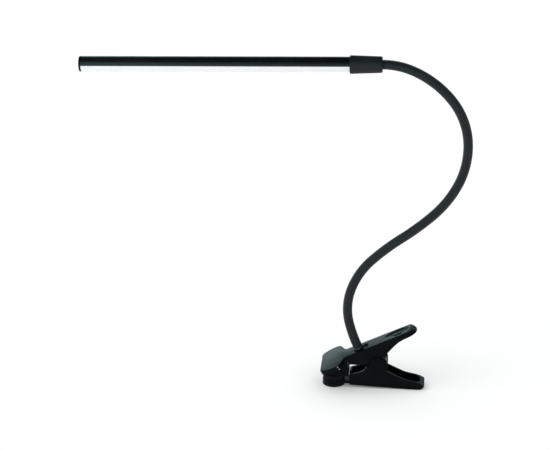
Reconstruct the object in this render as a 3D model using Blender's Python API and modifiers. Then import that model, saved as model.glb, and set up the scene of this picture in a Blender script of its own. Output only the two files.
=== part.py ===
"""Clip-on reading lamp: a sprung clip, a bendable neck and a slim light bar, each piece its own object.

The clip stands on the floor plane z = 0 with its foot under the origin. The neck lies in the
plane y = 0, X runs from the foot towards the clip's grips, and Z is up. Sizes are in metres.
"""

import math

import bmesh
import bpy
from mathutils import Matrix, Vector

# Fits
GAP = 0.0003
RUNNING = 0.0004

# Clip: pivot and walls
PIVOT = Vector((0.0475, 0.0, 0.028))
CLIP_HALF_WIDTH = 0.011
WALL = 0.0022
PIN_RADIUS = 0.0025
EAR_RADIUS = 0.010
EAR_SWEEP_GAP = 0.0006
CAP_RADIUS = 0.008
CAP_SEAT_DEPTH = 0.0008
CAP_PROUD = 0.0015
LUG_THICKNESS = 0.0024
LUG_RADIUS = 0.009

# Clip: upper jaw, in its own frame (u along the arm, w square to its top face)
ARM_SLOPE = math.radians(25.2)
ARM_TOP = 0.0216
ARM_PLATE = 0.0024
ARM_BACK = -0.0285
GRIP_END = 0.0525
GRIP_EDGE = 0.0054
GRIP_END_FLAT = 0.0015
BEAK_TIP = -0.0565
BEAK_TIP_HALF_WIDTH = 0.0215
BEAK_HALF_WIDTH = 0.028
BEAK_WIDE_FROM = -0.0470
BEAK_WIDE_TO = -0.0365
BEAK_SKIRT = 0.0046
BEAK_WALL = 0.0018
PAD_BOSS_RADIUS = 0.0105
THROAT_WEB_END = 0.0148
SCOOP_FROM = 0.0170
SCOOP_TO = 0.0455
SCOOP_RIM = 0.0028
SCOOP_DEPTH = 0.0013

# Clip: lower jaw and pads
LOWER_FRONT = 0.0170
LOWER_FRONT_TOP = 0.0250
LOWER_FRONT_RISE = 0.0031
LOWER_END = 0.0970
LOWER_GRIP_HEIGHT = 0.0108
HEEL_FROM_END = 0.0130
HEEL_TO_END = 0.0035
KNEE_FROM_END = 0.0200
FLOOR_THICKNESS = 0.0024
FOOT_RADIUS = 0.012
FOOT_THICKNESS = 0.0030
PAD_PLATE = 0.0030
LOWER_PAD_THICKNESS = 0.0018
UPPER_PAD_THICKNESS = 0.0034
PAD_STUD_RADIUS = 0.002
PAD_STUD_LENGTH = 0.004
PAD_RIM = 0.0005
BRIDGE_INSET = 0.0008

# Spring
SPRING_WIRE = 0.0009
SPRING_RADIUS = 0.008
SPRING_EXTRA_TURNS = 4
SPRING_SEAT_GAP = 0.0005
SPRING_UPPER_ANGLE = math.radians(20.0)
SPRING_LOWER_HEADING = math.radians(-28.0)
SPRING_LOWER_SEAT = 0.0012

# Neck: tangent arcs of its rest shape, each a length and a turn in degrees
NECK_RADIUS = 0.005
NECK_SEAT = -0.0136
NECK_ARCS = (
    (0.030, -10.7),
    (0.040, -33.5),
    (0.040, -26.8),
    (0.040, -8.9),
    (0.040, 8.1),
    (0.040, 19.1),
    (0.050, 31.0),
    (0.050, 36.0),
    (0.050, 27.5),
    (0.032, 24.5),
)
NECK_LINKS = 10
FIRST_JOINT = 0.015
LAST_JOINT_FROM_END = 0.014
SOCKET_CLEARANCE = 0.0006
NECK_IN_SLEEVE = 0.012
COLLAR_RIM = 0.0010
COLLAR_HEIGHT = 0.0020
STEM_RADIUS = 0.0040
STEM_LENGTH = 0.0094
NUT_ACROSS_FLATS = 0.012
NUT_THICKNESS = 0.003
WASHER_RADIUS = 0.0063
WASHER_THICKNESS = 0.0006
GLAND_RADIUS = 0.0025
GLAND_HEIGHT = 0.0012
GLAND_STEM_RADIUS = 0.0016
GLAND_STEM_LENGTH = 0.0050
LEAD_RADIUS = 0.0009

# Head: light bar and sleeve
TUBE_RADIUS = 0.008
TUBE_WALL = 0.0012
TUBE_SHOWING = 0.278
TUBE_IN_SLEEVE = 0.013
SLEEVE_LENGTH = 0.033
SLEEVE_NECK_WALL = 0.00335
SLEEVE_TUBE_WALL = 0.0015
SLEEVE_CHAMFER = 0.0006
SLEEVE_NECK_BORE = 0.0083
CRIMP_WALL = 0.0013
CRIMP_LENGTH = 0.0034
END_CAP_THICKNESS = 0.002
END_CAP_SPIGOT = 0.006
SPIGOT_REACH = 0.75
LEDGE_WIDTH = 0.0024
LEDGE_THICKNESS = 0.0007
BOARD_THICKNESS = 0.0012
BOARD_END_GAP = 0.0025
LED_ROW_MARGIN = 0.004
LED_COUNT = 24
LED_LENGTH = 0.003
LED_HALF_WIDTH = 0.0016
LED_HEIGHT = 0.0006

# Shared making values: rim rounding, how far a cutter runs past its piece, sides of a full circle
FINE_EDGE = 0.0006
CUT_PAST = 0.002
ROUND_SIDES = 32
SMOOTH_ANGLE = math.radians(35)


# ---------------------------------------------------------------- scene and shape helpers


def clear_scene():
    for obj in list(bpy.data.objects):
        bpy.data.objects.remove(obj, do_unlink=True)


def new_collection(name):
    made = bpy.data.collections.new(name)
    bpy.context.scene.collection.children.link(made)
    return made


def make_material(name, colour, roughness, metallic=0.0, alpha=1.0):
    made = bpy.data.materials.new(name)
    made.use_nodes = True
    shader = made.node_tree.nodes["Principled BSDF"]
    shader.inputs["Base Color"].default_value = (*colour, 1.0)
    shader.inputs["Roughness"].default_value = roughness
    shader.inputs["Metallic"].default_value = metallic
    shader.inputs["Alpha"].default_value = alpha
    return made


def put(obj, collection, material=None, smooth=True):
    """Links an object to its collection, gives it its material and shades it."""
    collection.objects.link(obj)
    if material:
        obj.data.materials.clear()
        obj.data.materials.append(material)
    if smooth and obj.type == "MESH":
        obj.data.shade_smooth()
        obj.data.set_sharp_from_angle(angle=SMOOTH_ANGLE)
    return obj


def hide(obj):
    obj.hide_render = True
    obj.display_type = "WIRE"
    return obj


def mesh_object(name, build):
    """A mesh object whose bmesh is filled by build."""
    mesh = bpy.data.meshes.new(name)
    bm = bmesh.new()
    build(bm)
    bm.to_mesh(mesh)
    bm.free()
    return bpy.data.objects.new(name, mesh)


def block(name, low, high, frame=Matrix()):
    """A box between two corners of a frame."""
    low, high = Vector(low), Vector(high)
    size = Matrix.Diagonal((*(high - low), 1.0))
    place = Matrix.Translation((low + high) / 2) @ size
    obj = mesh_object(name, lambda bm: bmesh.ops.create_cube(bm, size=1.0, matrix=place))
    obj.matrix_world = frame
    return obj


def round_bar(name, radius, low, high, frame=Matrix(), sides=ROUND_SIDES):
    """A cylinder or prism along a frame's Z axis, from low to high."""

    def build(bm):
        bmesh.ops.create_cone(
            bm,
            cap_ends=True,
            segments=sides,
            radius1=radius,
            radius2=radius,
            depth=high - low,
            matrix=Matrix.Translation((0, 0, (low + high) / 2)),
        )

    obj = mesh_object(name, build)
    obj.matrix_world = frame
    return obj


def ball(name, radius, frame, segments=16, rings=10):
    obj = mesh_object(
        name,
        lambda bm: bmesh.ops.create_uvsphere(bm, u_segments=segments, v_segments=rings, radius=radius),
    )
    obj.matrix_world = frame
    return obj


def as_mesh(obj, name):
    """Turns a curve, or an object with modifiers, into a plain mesh object in the same place."""
    holder = bpy.context.scene.collection
    holder.objects.link(obj)
    bpy.context.view_layer.update()
    evaluated = obj.evaluated_get(bpy.context.evaluated_depsgraph_get())
    mesh = bpy.data.meshes.new_from_object(evaluated)
    bm = bmesh.new()
    bm.from_mesh(mesh)
    bmesh.ops.remove_doubles(bm, verts=bm.verts, dist=1e-6)
    bmesh.ops.recalc_face_normals(bm, faces=bm.faces)
    bm.to_mesh(mesh)
    bm.free()
    place = obj.matrix_world.copy()
    bpy.data.objects.remove(obj, do_unlink=True)
    made = bpy.data.objects.new(name, mesh)
    made.matrix_world = place
    return made


def rounded(corners, steps=4):
    """An outline through corners (x, y, fillet radius), with an arc at each corner that has a radius."""
    points = []
    for i, (x, y, radius) in enumerate(corners):
        here = Vector((x, y))
        before = Vector(corners[i - 1][:2]) - here
        after = Vector(corners[(i + 1) % len(corners)][:2]) - here
        if radius <= 0:
            points.append(here)
            continue
        half = before.angle(after) / 2
        reach = min(radius / math.tan(half), 0.49 * before.length, 0.49 * after.length)
        start = here + before.normalized() * reach
        end = here + after.normalized() * reach
        centre = here + (before.normalized() + after.normalized()).normalized() * (reach / math.cos(half))
        first, last = start - centre, end - centre
        turn = first.angle_signed(last)
        for k in range(steps + 1):
            arm = first.copy()
            arm.rotate(Matrix.Rotation(-turn * k / steps, 2))
            points.append(centre + arm)
    return points


def outline_solid(name, points, low, high, frame=Matrix(), edge=0.0):
    """A flat outline in a frame's XY plane, extruded along Z from low to high, with rounded rims."""
    curve = bpy.data.curves.new(name, "CURVE")
    curve.dimensions = "2D"
    curve.fill_mode = "BOTH"
    curve.extrude = (high - low) / 2
    spline = curve.splines.new("POLY")
    spline.points.add(len(points) - 1)
    for point, (x, y) in zip(spline.points, points):
        point.co = (x, y, 0, 1)
    spline.use_cyclic_u = True
    flat = bpy.data.objects.new(name, curve)
    flat.matrix_world = frame @ Matrix.Translation((0, 0, (low + high) / 2))
    solid = as_mesh(flat, name)
    if edge > 0:
        bevel = solid.modifiers.new("rounded rim", "BEVEL")
        bevel.width = edge
        bevel.segments = 2
        bevel.limit_method = "ANGLE"
        bevel.angle_limit = math.radians(50)
        solid = as_mesh(solid, name)
    return solid


def turned(name, profile, frame=Matrix(), sides=ROUND_SIDES):
    """A profile of (radius, height) points, outer side top to bottom, turned about a frame's Z axis."""

    def build(bm):
        points = [bm.verts.new((radius, 0, height)) for radius, height in profile]
        for a, b in zip(points, points[1:]):
            bm.edges.new((a, b))
        if profile[0][0] > 0 and profile[-1][0] > 0:
            bm.edges.new((points[-1], points[0]))

    obj = mesh_object(name, build)
    screw = obj.modifiers.new("turn", "SCREW")
    screw.axis = "Z"
    screw.steps = sides
    screw.render_steps = sides
    screw.use_merge_vertices = True
    screw.merge_threshold = 0.00001
    obj.matrix_world = frame
    return as_mesh(obj, name)


def wire(name, points, radius, origin=Vector((0, 0, 0)), radii=None, resolution=2):
    """A round tube along points, relative to origin, as a mesh; radii scale it point by point."""
    curve = bpy.data.curves.new(name, "CURVE")
    curve.dimensions = "3D"
    curve.bevel_depth = radius
    curve.bevel_resolution = resolution
    curve.use_fill_caps = True
    spline = curve.splines.new("POLY")
    spline.points.add(len(points) - 1)
    for i, (point, place) in enumerate(zip(spline.points, points)):
        point.co = (*(place - origin), 1)
        point.radius = radii[i] if radii else 1.0
    route = bpy.data.objects.new(name, curve)
    route.location = origin
    return as_mesh(route, name)


def boolean(target, helpers, operation, cutters):
    for helper in helpers:
        cutters.objects.link(hide(helper))
        step = target.modifiers.new(f"{operation.lower()} {helper.name}", "BOOLEAN")
        step.operation = operation
        step.solver = "EXACT"
        step.object = helper


def adopt(parent, children):
    """Parents objects without moving them."""
    bpy.context.view_layer.update()
    for child in children:
        child.parent = parent
        child.matrix_parent_inverse = parent.matrix_world.inverted()


def axis_empty(name, place, collection):
    empty = bpy.data.objects.new(name, None)
    empty.empty_display_size = 0.01
    empty.location = place
    collection.objects.link(empty)
    return empty


# ---------------------------------------------------------------- frames

SIDE_VIEW = Matrix.Rotation(math.radians(90), 4, "X")
ARM_FRAME = Matrix.Translation(PIVOT) @ Matrix.Rotation(-ARM_SLOPE, 4, "Y")


def arm_point(u, w):
    """The world place of a point of the upper jaw's frame."""
    return ARM_FRAME @ Vector((u, 0, w))


def neck_point(distance):
    """Place and heading (radians in the XZ plane) of the neck's centre line at a distance from the arm."""
    place = arm_point(NECK_SEAT, ARM_TOP)
    heading = math.pi / 2 + ARM_SLOPE
    for length, turn in NECK_ARCS:
        step = min(distance, length)
        angle = math.radians(turn) * step / length
        chord = step if abs(angle) < 1e-9 else 2 * step / angle * math.sin(angle / 2)
        middle = heading + angle / 2
        place = place + Vector((math.cos(middle), 0, math.sin(middle))) * chord
        heading += angle
        distance -= step
        if distance <= 0:
            break
    if distance > 0:
        place = place + Vector((math.cos(heading), 0, math.sin(heading))) * distance
    return place, heading


def heading_frame(place, heading):
    """A frame whose Z runs along a heading and whose X is square to it in the XZ plane."""
    along = Vector((math.cos(heading), 0, math.sin(heading)))
    across = Vector((math.sin(heading), 0, -math.cos(heading)))
    side = along.cross(across)
    return Matrix.Translation(place) @ Matrix((across, side, along)).transposed().to_4x4()


NECK_LENGTH = sum(length for length, _ in NECK_ARCS)
JOINT_PITCH = (NECK_LENGTH - LAST_JOINT_FROM_END - FIRST_JOINT) / NECK_LINKS
JOINTS = [FIRST_JOINT + JOINT_PITCH * i for i in range(NECK_LINKS + 1)]
HEAD_FRAME = heading_frame(*neck_point(NECK_LENGTH))
PAD_PLATE_LOW = FOOT_THICKNESS + GAP
PAD_PLATE_TOP = PAD_PLATE_LOW + PAD_PLATE
LOWER_PAD_TOP = PAD_PLATE_TOP + GAP + LOWER_PAD_THICKNESS
UPPER_PAD_LOW = LOWER_PAD_TOP + GAP
UPPER_PAD_TOP = UPPER_PAD_LOW + UPPER_PAD_THICKNESS
PIN_HOLE = PIN_RADIUS + GAP
EAR_IN = CLIP_HALF_WIDTH - WALL
LUG_OUT = EAR_IN - RUNNING
LUG_IN = LUG_OUT - LUG_THICKNESS
ARM_UNDER = ARM_TOP - ARM_PLATE
SPRING_HALF_LENGTH = LUG_IN - RUNNING - SPRING_WIRE
CRIMP_RADIUS = NECK_RADIUS + GAP + CRIMP_WALL
GLAND_OFFSET = NECK_RADIUS + COLLAR_RIM + GAP + GLAND_RADIUS
TUBE_BORE = TUBE_RADIUS - TUBE_WALL
BOARD_LOW = LEDGE_THICKNESS + GAP
BOARD_TOP = BOARD_LOW + BOARD_THICKNESS
BOARD_HALF_WIDTH = math.sqrt(TUBE_BORE**2 - BOARD_TOP**2) - GAP


# ---------------------------------------------------------------- clip


def pin_frame():
    return Matrix.Translation(PIVOT) @ SIDE_VIEW


def grip_plan(name, start, end, low, high, frame=Matrix()):
    """A block over a jaw's whole length, seen from above, with the rounded end of its grip."""
    wide = CLIP_HALF_WIDTH + GAP
    round_end = wide - GRIP_END_FLAT
    corners = (
        (start - CUT_PAST, -wide, 0),
        (end, -wide, round_end),
        (end, wide, round_end),
        (start - CUT_PAST, wide, 0),
    )
    return outline_solid(name, rounded(corners, steps=8), low, high, frame)


def side_solid(name, corners, low, high, frame, edge=0.0):
    """A solid from a side profile in a frame's XZ plane, between two distances along Y."""
    return outline_solid(name, rounded(corners), -high, -low, frame @ SIDE_VIEW, edge)


def upper_jaw(cutters):
    """The moulded upper jaw: wide beak, channel-shaped arm, scooped grip and two inner pivot lugs."""
    wall_foot = 0.0123
    grip_under = ARM_TOP - GRIP_EDGE
    profile = (
        (ARM_BACK, ARM_TOP, 0.0008),
        (ARM_BACK, wall_foot, 0.001),
        (-0.0217, 0.0090, 0.002),
        (-0.0060, 0.0020, 0.002),
        (0.0080, 0.0020, 0.002),
        (0.0144, 0.0081, 0.003),
        (0.0306, grip_under - 0.0010, 0.004),
        (GRIP_END - 0.0095, grip_under, 0.004),
        (GRIP_END - 0.0015, grip_under + 0.0005, 0.0012),
        (GRIP_END, grip_under + 0.0024, 0.0015),
        (GRIP_END - 0.0050, ARM_TOP, 0.002),
    )
    body = side_solid("upper_jaw", profile, -CLIP_HALF_WIDTH, CLIP_HALF_WIDTH, ARM_FRAME, FINE_EDGE)
    body_plan = grip_plan("arm_plan", ARM_BACK, GRIP_END, -EAR_RADIUS, ARM_TOP + CUT_PAST, ARM_FRAME)
    channel = side_solid(
        "arm_channel",
        (
            (ARM_BACK + WALL, ARM_UNDER, 0.001),
            (ARM_BACK + WALL, -EAR_RADIUS * 2, 0),
            (GRIP_END - WALL * 2, -EAR_RADIUS * 2, 0),
            (GRIP_END - WALL * 2, ARM_UNDER, 0.001),
        ),
        -EAR_IN,
        EAR_IN,
        ARM_FRAME,
    )
    sweep = round_bar(
        "ear_sweep",
        EAR_RADIUS + EAR_SWEEP_GAP,
        -CLIP_HALF_WIDTH * 1.2,
        CLIP_HALF_WIDTH * 1.2,
        pin_frame(),
        sides=48,
    )
    boolean(body, [body_plan], "INTERSECT", cutters)
    boolean(body, [channel, sweep], "DIFFERENCE", cutters)

    lug_profile = (
        (-LUG_RADIUS * 0.75, ARM_UNDER + ARM_PLATE / 2, 0),
        (-LUG_RADIUS, 0.0, LUG_RADIUS * 0.98),
        (-LUG_RADIUS, -LUG_RADIUS, LUG_RADIUS * 0.98),
        (LUG_RADIUS, -LUG_RADIUS, LUG_RADIUS * 0.98),
        (LUG_RADIUS, 0.0, LUG_RADIUS * 0.98),
        (LUG_RADIUS * 1.2, ARM_UNDER + ARM_PLATE / 2, 0),
    )
    lugs = [
        side_solid(f"lug_{side}", lug_profile, low, low + LUG_THICKNESS, ARM_FRAME)
        for side, low in (("near", -LUG_OUT), ("far", LUG_IN))
    ]

    skirt_low = ARM_TOP - BEAK_SKIRT
    beak = outline_solid("beak", rounded(beak_corners(0.0)), skirt_low, ARM_TOP, ARM_FRAME, FINE_EDGE)
    hollow = outline_solid(
        "beak_hollow",
        rounded(beak_corners(BEAK_WALL)),
        skirt_low - CUT_PAST,
        ARM_UNDER,
        ARM_FRAME,
    )
    boss = round_bar("pad_boss", PAD_BOSS_RADIUS, UPPER_PAD_TOP + GAP, ARM_TOP * 2)
    web_half = CLIP_HALF_WIDTH - GRIP_END_FLAT
    web = block("throat_web", (0.0, -web_half, UPPER_PAD_TOP + GAP), (THROAT_WEB_END, web_half, ARM_TOP * 2))
    above = block(
        "above_beak",
        (BEAK_TIP * 2, -BEAK_HALF_WIDTH, ARM_UNDER + ARM_PLATE / 2),
        (GRIP_END, BEAK_HALF_WIDTH, ARM_TOP * 3),
        ARM_FRAME,
    )
    stud_top = UPPER_PAD_TOP + PAD_STUD_LENGTH + GAP
    stud_hole = round_bar("pad_stud_hole", PAD_STUD_RADIUS + GAP, UPPER_PAD_TOP, stud_top, sides=16)
    boolean(beak, [hollow], "DIFFERENCE", cutters)
    boolean(boss, [web], "UNION", cutters)
    boolean(boss, [above, stud_hole], "DIFFERENCE", cutters)
    boolean(body, [beak, boss] + lugs, "UNION", cutters)

    pin_hole = round_bar("upper_pin_hole", PIN_HOLE, -CLIP_HALF_WIDTH, CLIP_HALF_WIDTH, pin_frame())
    seat = ARM_FRAME @ Matrix.Translation((NECK_SEAT, 0, 0))
    low, high = ARM_UNDER - CUT_PAST, ARM_TOP + CUT_PAST
    neck_hole = round_bar("neck_hole", STEM_RADIUS + GAP, low, high, seat, 24)
    outlet = seat @ Matrix.Translation((GLAND_OFFSET, 0, 0))
    gland_hole = round_bar("gland_hole", GLAND_STEM_RADIUS + GAP, low, high, outlet, 16)
    half = CLIP_HALF_WIDTH - SCOOP_RIM
    turn = half * 0.95
    scoop = outline_solid(
        "finger_scoop",
        rounded(
            (
                (SCOOP_FROM, -half, turn),
                (SCOOP_TO, -half, turn),
                (SCOOP_TO, half, turn),
                (SCOOP_FROM, half, turn),
            ),
            steps=6,
        ),
        ARM_TOP - SCOOP_DEPTH,
        high,
        ARM_FRAME,
    )
    boolean(body, [pin_hole, neck_hole, gland_hole, scoop], "DIFFERENCE", cutters)
    return body


def beak_corners(inset):
    """The beak's plan outline with fillet radii, drawn in by an inset for the hollow under it."""
    tip = BEAK_TIP + inset
    half = BEAK_HALF_WIDTH - inset
    tip_half = BEAK_TIP_HALF_WIDTH - inset * 0.7
    back = ARM_BACK + 0.0015 - inset
    waist = CLIP_HALF_WIDTH - inset
    side = (
        (tip, tip_half, 0.005),
        (BEAK_WIDE_FROM + inset * 0.3, half, 0.009),
        (BEAK_WIDE_TO - inset * 0.3, half, 0.007),
        (ARM_BACK - 0.001 - inset, waist + 0.001, 0.003),
        (back, waist, 0.0),
    )
    return [(x, -y, r) for x, y, r in side] + [(x, y, r) for x, y, r in reversed(side)]


def lower_top(x):
    """Height of the lower grip's wall tops at a distance along X."""
    knee = LOWER_END - KNEE_FROM_END
    ear_side = PIVOT.x + EAR_RADIUS
    slope = (PIVOT.z - EAR_RADIUS * 0.8 - LOWER_GRIP_HEIGHT) / (knee - ear_side)
    return LOWER_GRIP_HEIGHT + slope * (knee - x)


def lower_jaw(cutters):
    """The moulded lower jaw: pad plate, channel body, pivot ears and trough-shaped grip."""
    knee = LOWER_END - KNEE_FROM_END
    profile = (
        (LOWER_FRONT, LOWER_FRONT_RISE, 0.0008),
        (LOWER_END - HEEL_FROM_END, 0.0, 0),
        (LOWER_END - HEEL_TO_END, 0.0, 0.003),
        (LOWER_END, 0.0030, 0.003),
        (LOWER_END - 0.0045, 0.0072, 0.004),
        (knee, LOWER_GRIP_HEIGHT, 0.006),
        (PIVOT.x + EAR_RADIUS * 0.9, lower_top(PIVOT.x + EAR_RADIUS * 0.9), 0),
        (PIVOT.x, PIVOT.z, 0),
        (PIVOT.x - EAR_RADIUS * 0.9, LOWER_FRONT_TOP, 0),
        (LOWER_FRONT, LOWER_FRONT_TOP, 0.002),
    )
    body = side_solid("lower_jaw", profile, -CLIP_HALF_WIDTH, CLIP_HALF_WIDTH, Matrix(), FINE_EDGE)
    clear_top = PIVOT.z + EAR_RADIUS * 2
    plan = grip_plan("lower_plan", LOWER_FRONT, LOWER_END, -CUT_PAST, clear_top)
    ears = round_bar("ears", EAR_RADIUS, -CLIP_HALF_WIDTH, CLIP_HALF_WIDTH, pin_frame(), sides=48)
    floor_front = LOWER_FRONT_RISE + FLOOR_THICKNESS
    channel = side_solid(
        "lower_channel",
        (
            (LOWER_FRONT + WALL, floor_front, 0.001),
            (LOWER_END - HEEL_FROM_END, FLOOR_THICKNESS, 0.004),
            (LOWER_END - 0.0065, FLOOR_THICKNESS, 0.003),
            (LOWER_END - 0.0045, LOWER_GRIP_HEIGHT, 0),
            (LOWER_END - 0.0045, clear_top, 0),
            (LOWER_FRONT + WALL, clear_top, 0),
        ),
        -EAR_IN,
        EAR_IN,
        Matrix(),
    )
    boolean(body, [plan], "INTERSECT", cutters)
    boolean(body, [ears], "UNION", cutters)
    boolean(body, [channel], "DIFFERENCE", cutters)

    plate = round_bar("pad_plate", FOOT_RADIUS, PAD_PLATE_LOW, PAD_PLATE_TOP, sides=40)
    half = EAR_IN - BRIDGE_INSET
    bridge = block("bridge", (0.0, -half, PAD_PLATE_LOW), (LOWER_FRONT + WALL / 2, half, PAD_PLATE_TOP))
    boolean(body, [plate, bridge], "UNION", cutters)

    stud_hole = round_bar("stud_hole", PAD_STUD_RADIUS + GAP, 0.0, PAD_PLATE_TOP * 2, sides=16)
    pin_hole = round_bar("lower_pin_hole", PIN_HOLE, -CLIP_HALF_WIDTH * 2, CLIP_HALF_WIDTH * 2, pin_frame())
    seat = CLIP_HALF_WIDTH - CAP_SEAT_DEPTH
    seats = [
        round_bar(f"cap_seat_{side}", CAP_RADIUS + RUNNING, low, low + CLIP_HALF_WIDTH, pin_frame())
        for side, low in (("far", -seat - CLIP_HALF_WIDTH), ("near", seat))
    ]
    boolean(body, [stud_hole, pin_hole] + seats, "DIFFERENCE", cutters)
    return body


def pad(name, radius, low, high, stud_end):
    """A rubber pad between two heights, with the round stud that holds it reaching to stud_end."""
    side = [(radius - PAD_RIM, high), (radius, high - PAD_RIM), (radius, low + PAD_RIM), (radius - PAD_RIM, low)]
    if stud_end > high:
        profile = [(0, stud_end), (PAD_STUD_RADIUS, stud_end), (PAD_STUD_RADIUS, high)] + side + [(0, low)]
    else:
        profile = [(0, high)] + side + [(PAD_STUD_RADIUS, low), (PAD_STUD_RADIUS, stud_end), (0, stud_end)]
    return turned(name, profile)


def pads():
    middle = (PAD_PLATE_LOW + PAD_PLATE_TOP) / 2
    foot = pad("foot_pad", FOOT_RADIUS, 0.0, FOOT_THICKNESS, middle - GAP)
    lower = pad("lower_pad", FOOT_RADIUS - GAP, PAD_PLATE_TOP + GAP, LOWER_PAD_TOP, middle + GAP)
    upper = pad("upper_pad", FOOT_RADIUS - GAP, UPPER_PAD_LOW, UPPER_PAD_TOP, UPPER_PAD_TOP + PAD_STUD_LENGTH)
    return foot, lower, upper


def pivot_pin():
    half = CLIP_HALF_WIDTH + GAP
    chamfer = PIN_RADIUS * 0.2
    profile = (
        (0, half),
        (PIN_RADIUS - chamfer, half),
        (PIN_RADIUS, half - chamfer),
        (PIN_RADIUS, -half + chamfer),
        (PIN_RADIUS - chamfer, -half),
        (0, -half),
    )
    return turned("pivot_pin", profile, pin_frame(), sides=24)


def pivot_cap(name, mirrored):
    """A domed cap pushed over an end of the pivot pin, seated in the ear."""
    inner = CLIP_HALF_WIDTH - CAP_SEAT_DEPTH + GAP
    outer = CLIP_HALF_WIDTH + CAP_PROUD
    floor = CLIP_HALF_WIDTH + 2 * GAP
    profile = (
        (0, outer),
        (CAP_RADIUS * 0.6, outer),
        (CAP_RADIUS * 0.88, outer - 0.0002),
        (CAP_RADIUS, outer - 0.0009),
        (CAP_RADIUS, inner),
        (PIN_HOLE, inner),
        (PIN_HOLE, floor),
        (0, floor),
    )
    turn = Matrix.Rotation(math.pi, 4, "X") if mirrored else Matrix()
    return turned(name, profile, pin_frame() @ turn)


def torsion_spring():
    """Coil round the pivot; one leg presses up under the grip, the other down in the trough."""
    upper_heading = ARM_SLOPE + SPRING_UPPER_ANGLE
    upper_seat = ARM_UNDER - SPRING_SEAT_GAP - SPRING_WIRE
    upper_leg = (upper_seat - SPRING_RADIUS * math.cos(SPRING_UPPER_ANGLE)) / math.sin(SPRING_UPPER_ANGLE)
    lower_seat = FLOOR_THICKNESS + SPRING_WIRE + SPRING_LOWER_SEAT
    lower_drop = PIVOT.z - SPRING_RADIUS * math.cos(SPRING_LOWER_HEADING) - lower_seat
    lower_leg = lower_drop / -math.sin(SPRING_LOWER_HEADING)
    start = upper_heading + math.pi / 2
    end = SPRING_LOWER_HEADING - math.pi / 2 + 2 * math.pi * (SPRING_EXTRA_TURNS + 1)
    steps = 14 * (SPRING_EXTRA_TURNS + 1)
    coil = []
    for k in range(steps + 1):
        angle = start + (end - start) * k / steps
        along = -SPRING_HALF_LENGTH + 2 * SPRING_HALF_LENGTH * k / steps
        coil.append(PIVOT + Vector((math.cos(angle), 0, math.sin(angle))) * SPRING_RADIUS + Vector((0, along, 0)))
    upper_end = coil[0] + Vector((math.cos(upper_heading), 0, math.sin(upper_heading))) * upper_leg
    lower_along = Vector((math.cos(SPRING_LOWER_HEADING), 0, math.sin(SPRING_LOWER_HEADING)))
    points = [upper_end] + coil + [coil[-1] + lower_along * lower_leg]
    return wire("torsion_spring", points, SPRING_WIRE, origin=PIVOT)


# ---------------------------------------------------------------- neck


def neck_seat_pieces(cutters):
    """Collar with its threaded stem, washer and nut, the cord's gland and the lead between them."""
    seat = ARM_FRAME @ Matrix.Translation((NECK_SEAT, 0, ARM_TOP))
    bore = LEAD_RADIUS + GAP
    collar = turned(
        "neck_collar",
        (
            (NECK_RADIUS + COLLAR_RIM / 2, GAP + COLLAR_HEIGHT),
            (NECK_RADIUS + COLLAR_RIM, GAP + COLLAR_HEIGHT - COLLAR_RIM / 2),
            (NECK_RADIUS + COLLAR_RIM, GAP),
            (STEM_RADIUS, GAP),
            (STEM_RADIUS, GAP - STEM_LENGTH),
            (bore, GAP - STEM_LENGTH),
            (bore, GAP + COLLAR_HEIGHT),
        ),
        seat,
        sides=24,
    )
    washer_top = -ARM_PLATE - GAP
    washer = turned(
        "neck_washer",
        (
            (WASHER_RADIUS, washer_top),
            (WASHER_RADIUS, washer_top - WASHER_THICKNESS),
            (STEM_RADIUS + GAP, washer_top - WASHER_THICKNESS),
            (STEM_RADIUS + GAP, washer_top),
        ),
        seat,
        sides=24,
    )
    nut_top = washer_top - WASHER_THICKNESS - GAP
    nut = round_bar(
        "neck_nut",
        NUT_ACROSS_FLATS / 2 / math.cos(math.pi / 6),
        nut_top - NUT_THICKNESS,
        nut_top,
        seat @ Matrix.Rotation(math.radians(30), 4, "Z"),
        sides=6,
    )
    thread = round_bar("nut_thread", STEM_RADIUS + GAP, nut_top - NUT_THICKNESS * 2, 0.0, seat, 24)
    boolean(nut, [thread], "DIFFERENCE", cutters)

    outlet = seat @ Matrix.Translation((GLAND_OFFSET, 0, 0))
    gland = turned(
        "cord_gland",
        (
            (GLAND_RADIUS - 0.0004, GAP + GLAND_HEIGHT),
            (GLAND_RADIUS, GAP + GLAND_HEIGHT - 0.0004),
            (GLAND_RADIUS, GAP),
            (GLAND_STEM_RADIUS, GAP),
            (GLAND_STEM_RADIUS, GAP - GLAND_STEM_LENGTH),
            (LEAD_RADIUS, GAP - GLAND_STEM_LENGTH),
            (LEAD_RADIUS, GAP + GLAND_HEIGHT),
        ),
        outlet,
        sides=20,
    )

    drop = ARM_TOP + GAP
    radius = GLAND_OFFSET / 2
    low = drop - STEM_LENGTH - 0.0006
    points = [arm_point(NECK_SEAT + GLAND_OFFSET, drop - GLAND_STEM_LENGTH - GAP)]
    for k in range(9):
        angle = math.pi * k / 8
        u = NECK_SEAT + radius + radius * math.cos(angle)
        points.append(arm_point(u, low - radius * math.sin(angle)))
    points.append(arm_point(NECK_SEAT, drop - STEM_LENGTH - GAP))
    lead = wire("clamp_lead", points, LEAD_RADIUS)
    return collar, washer, nut, gland, lead


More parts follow.
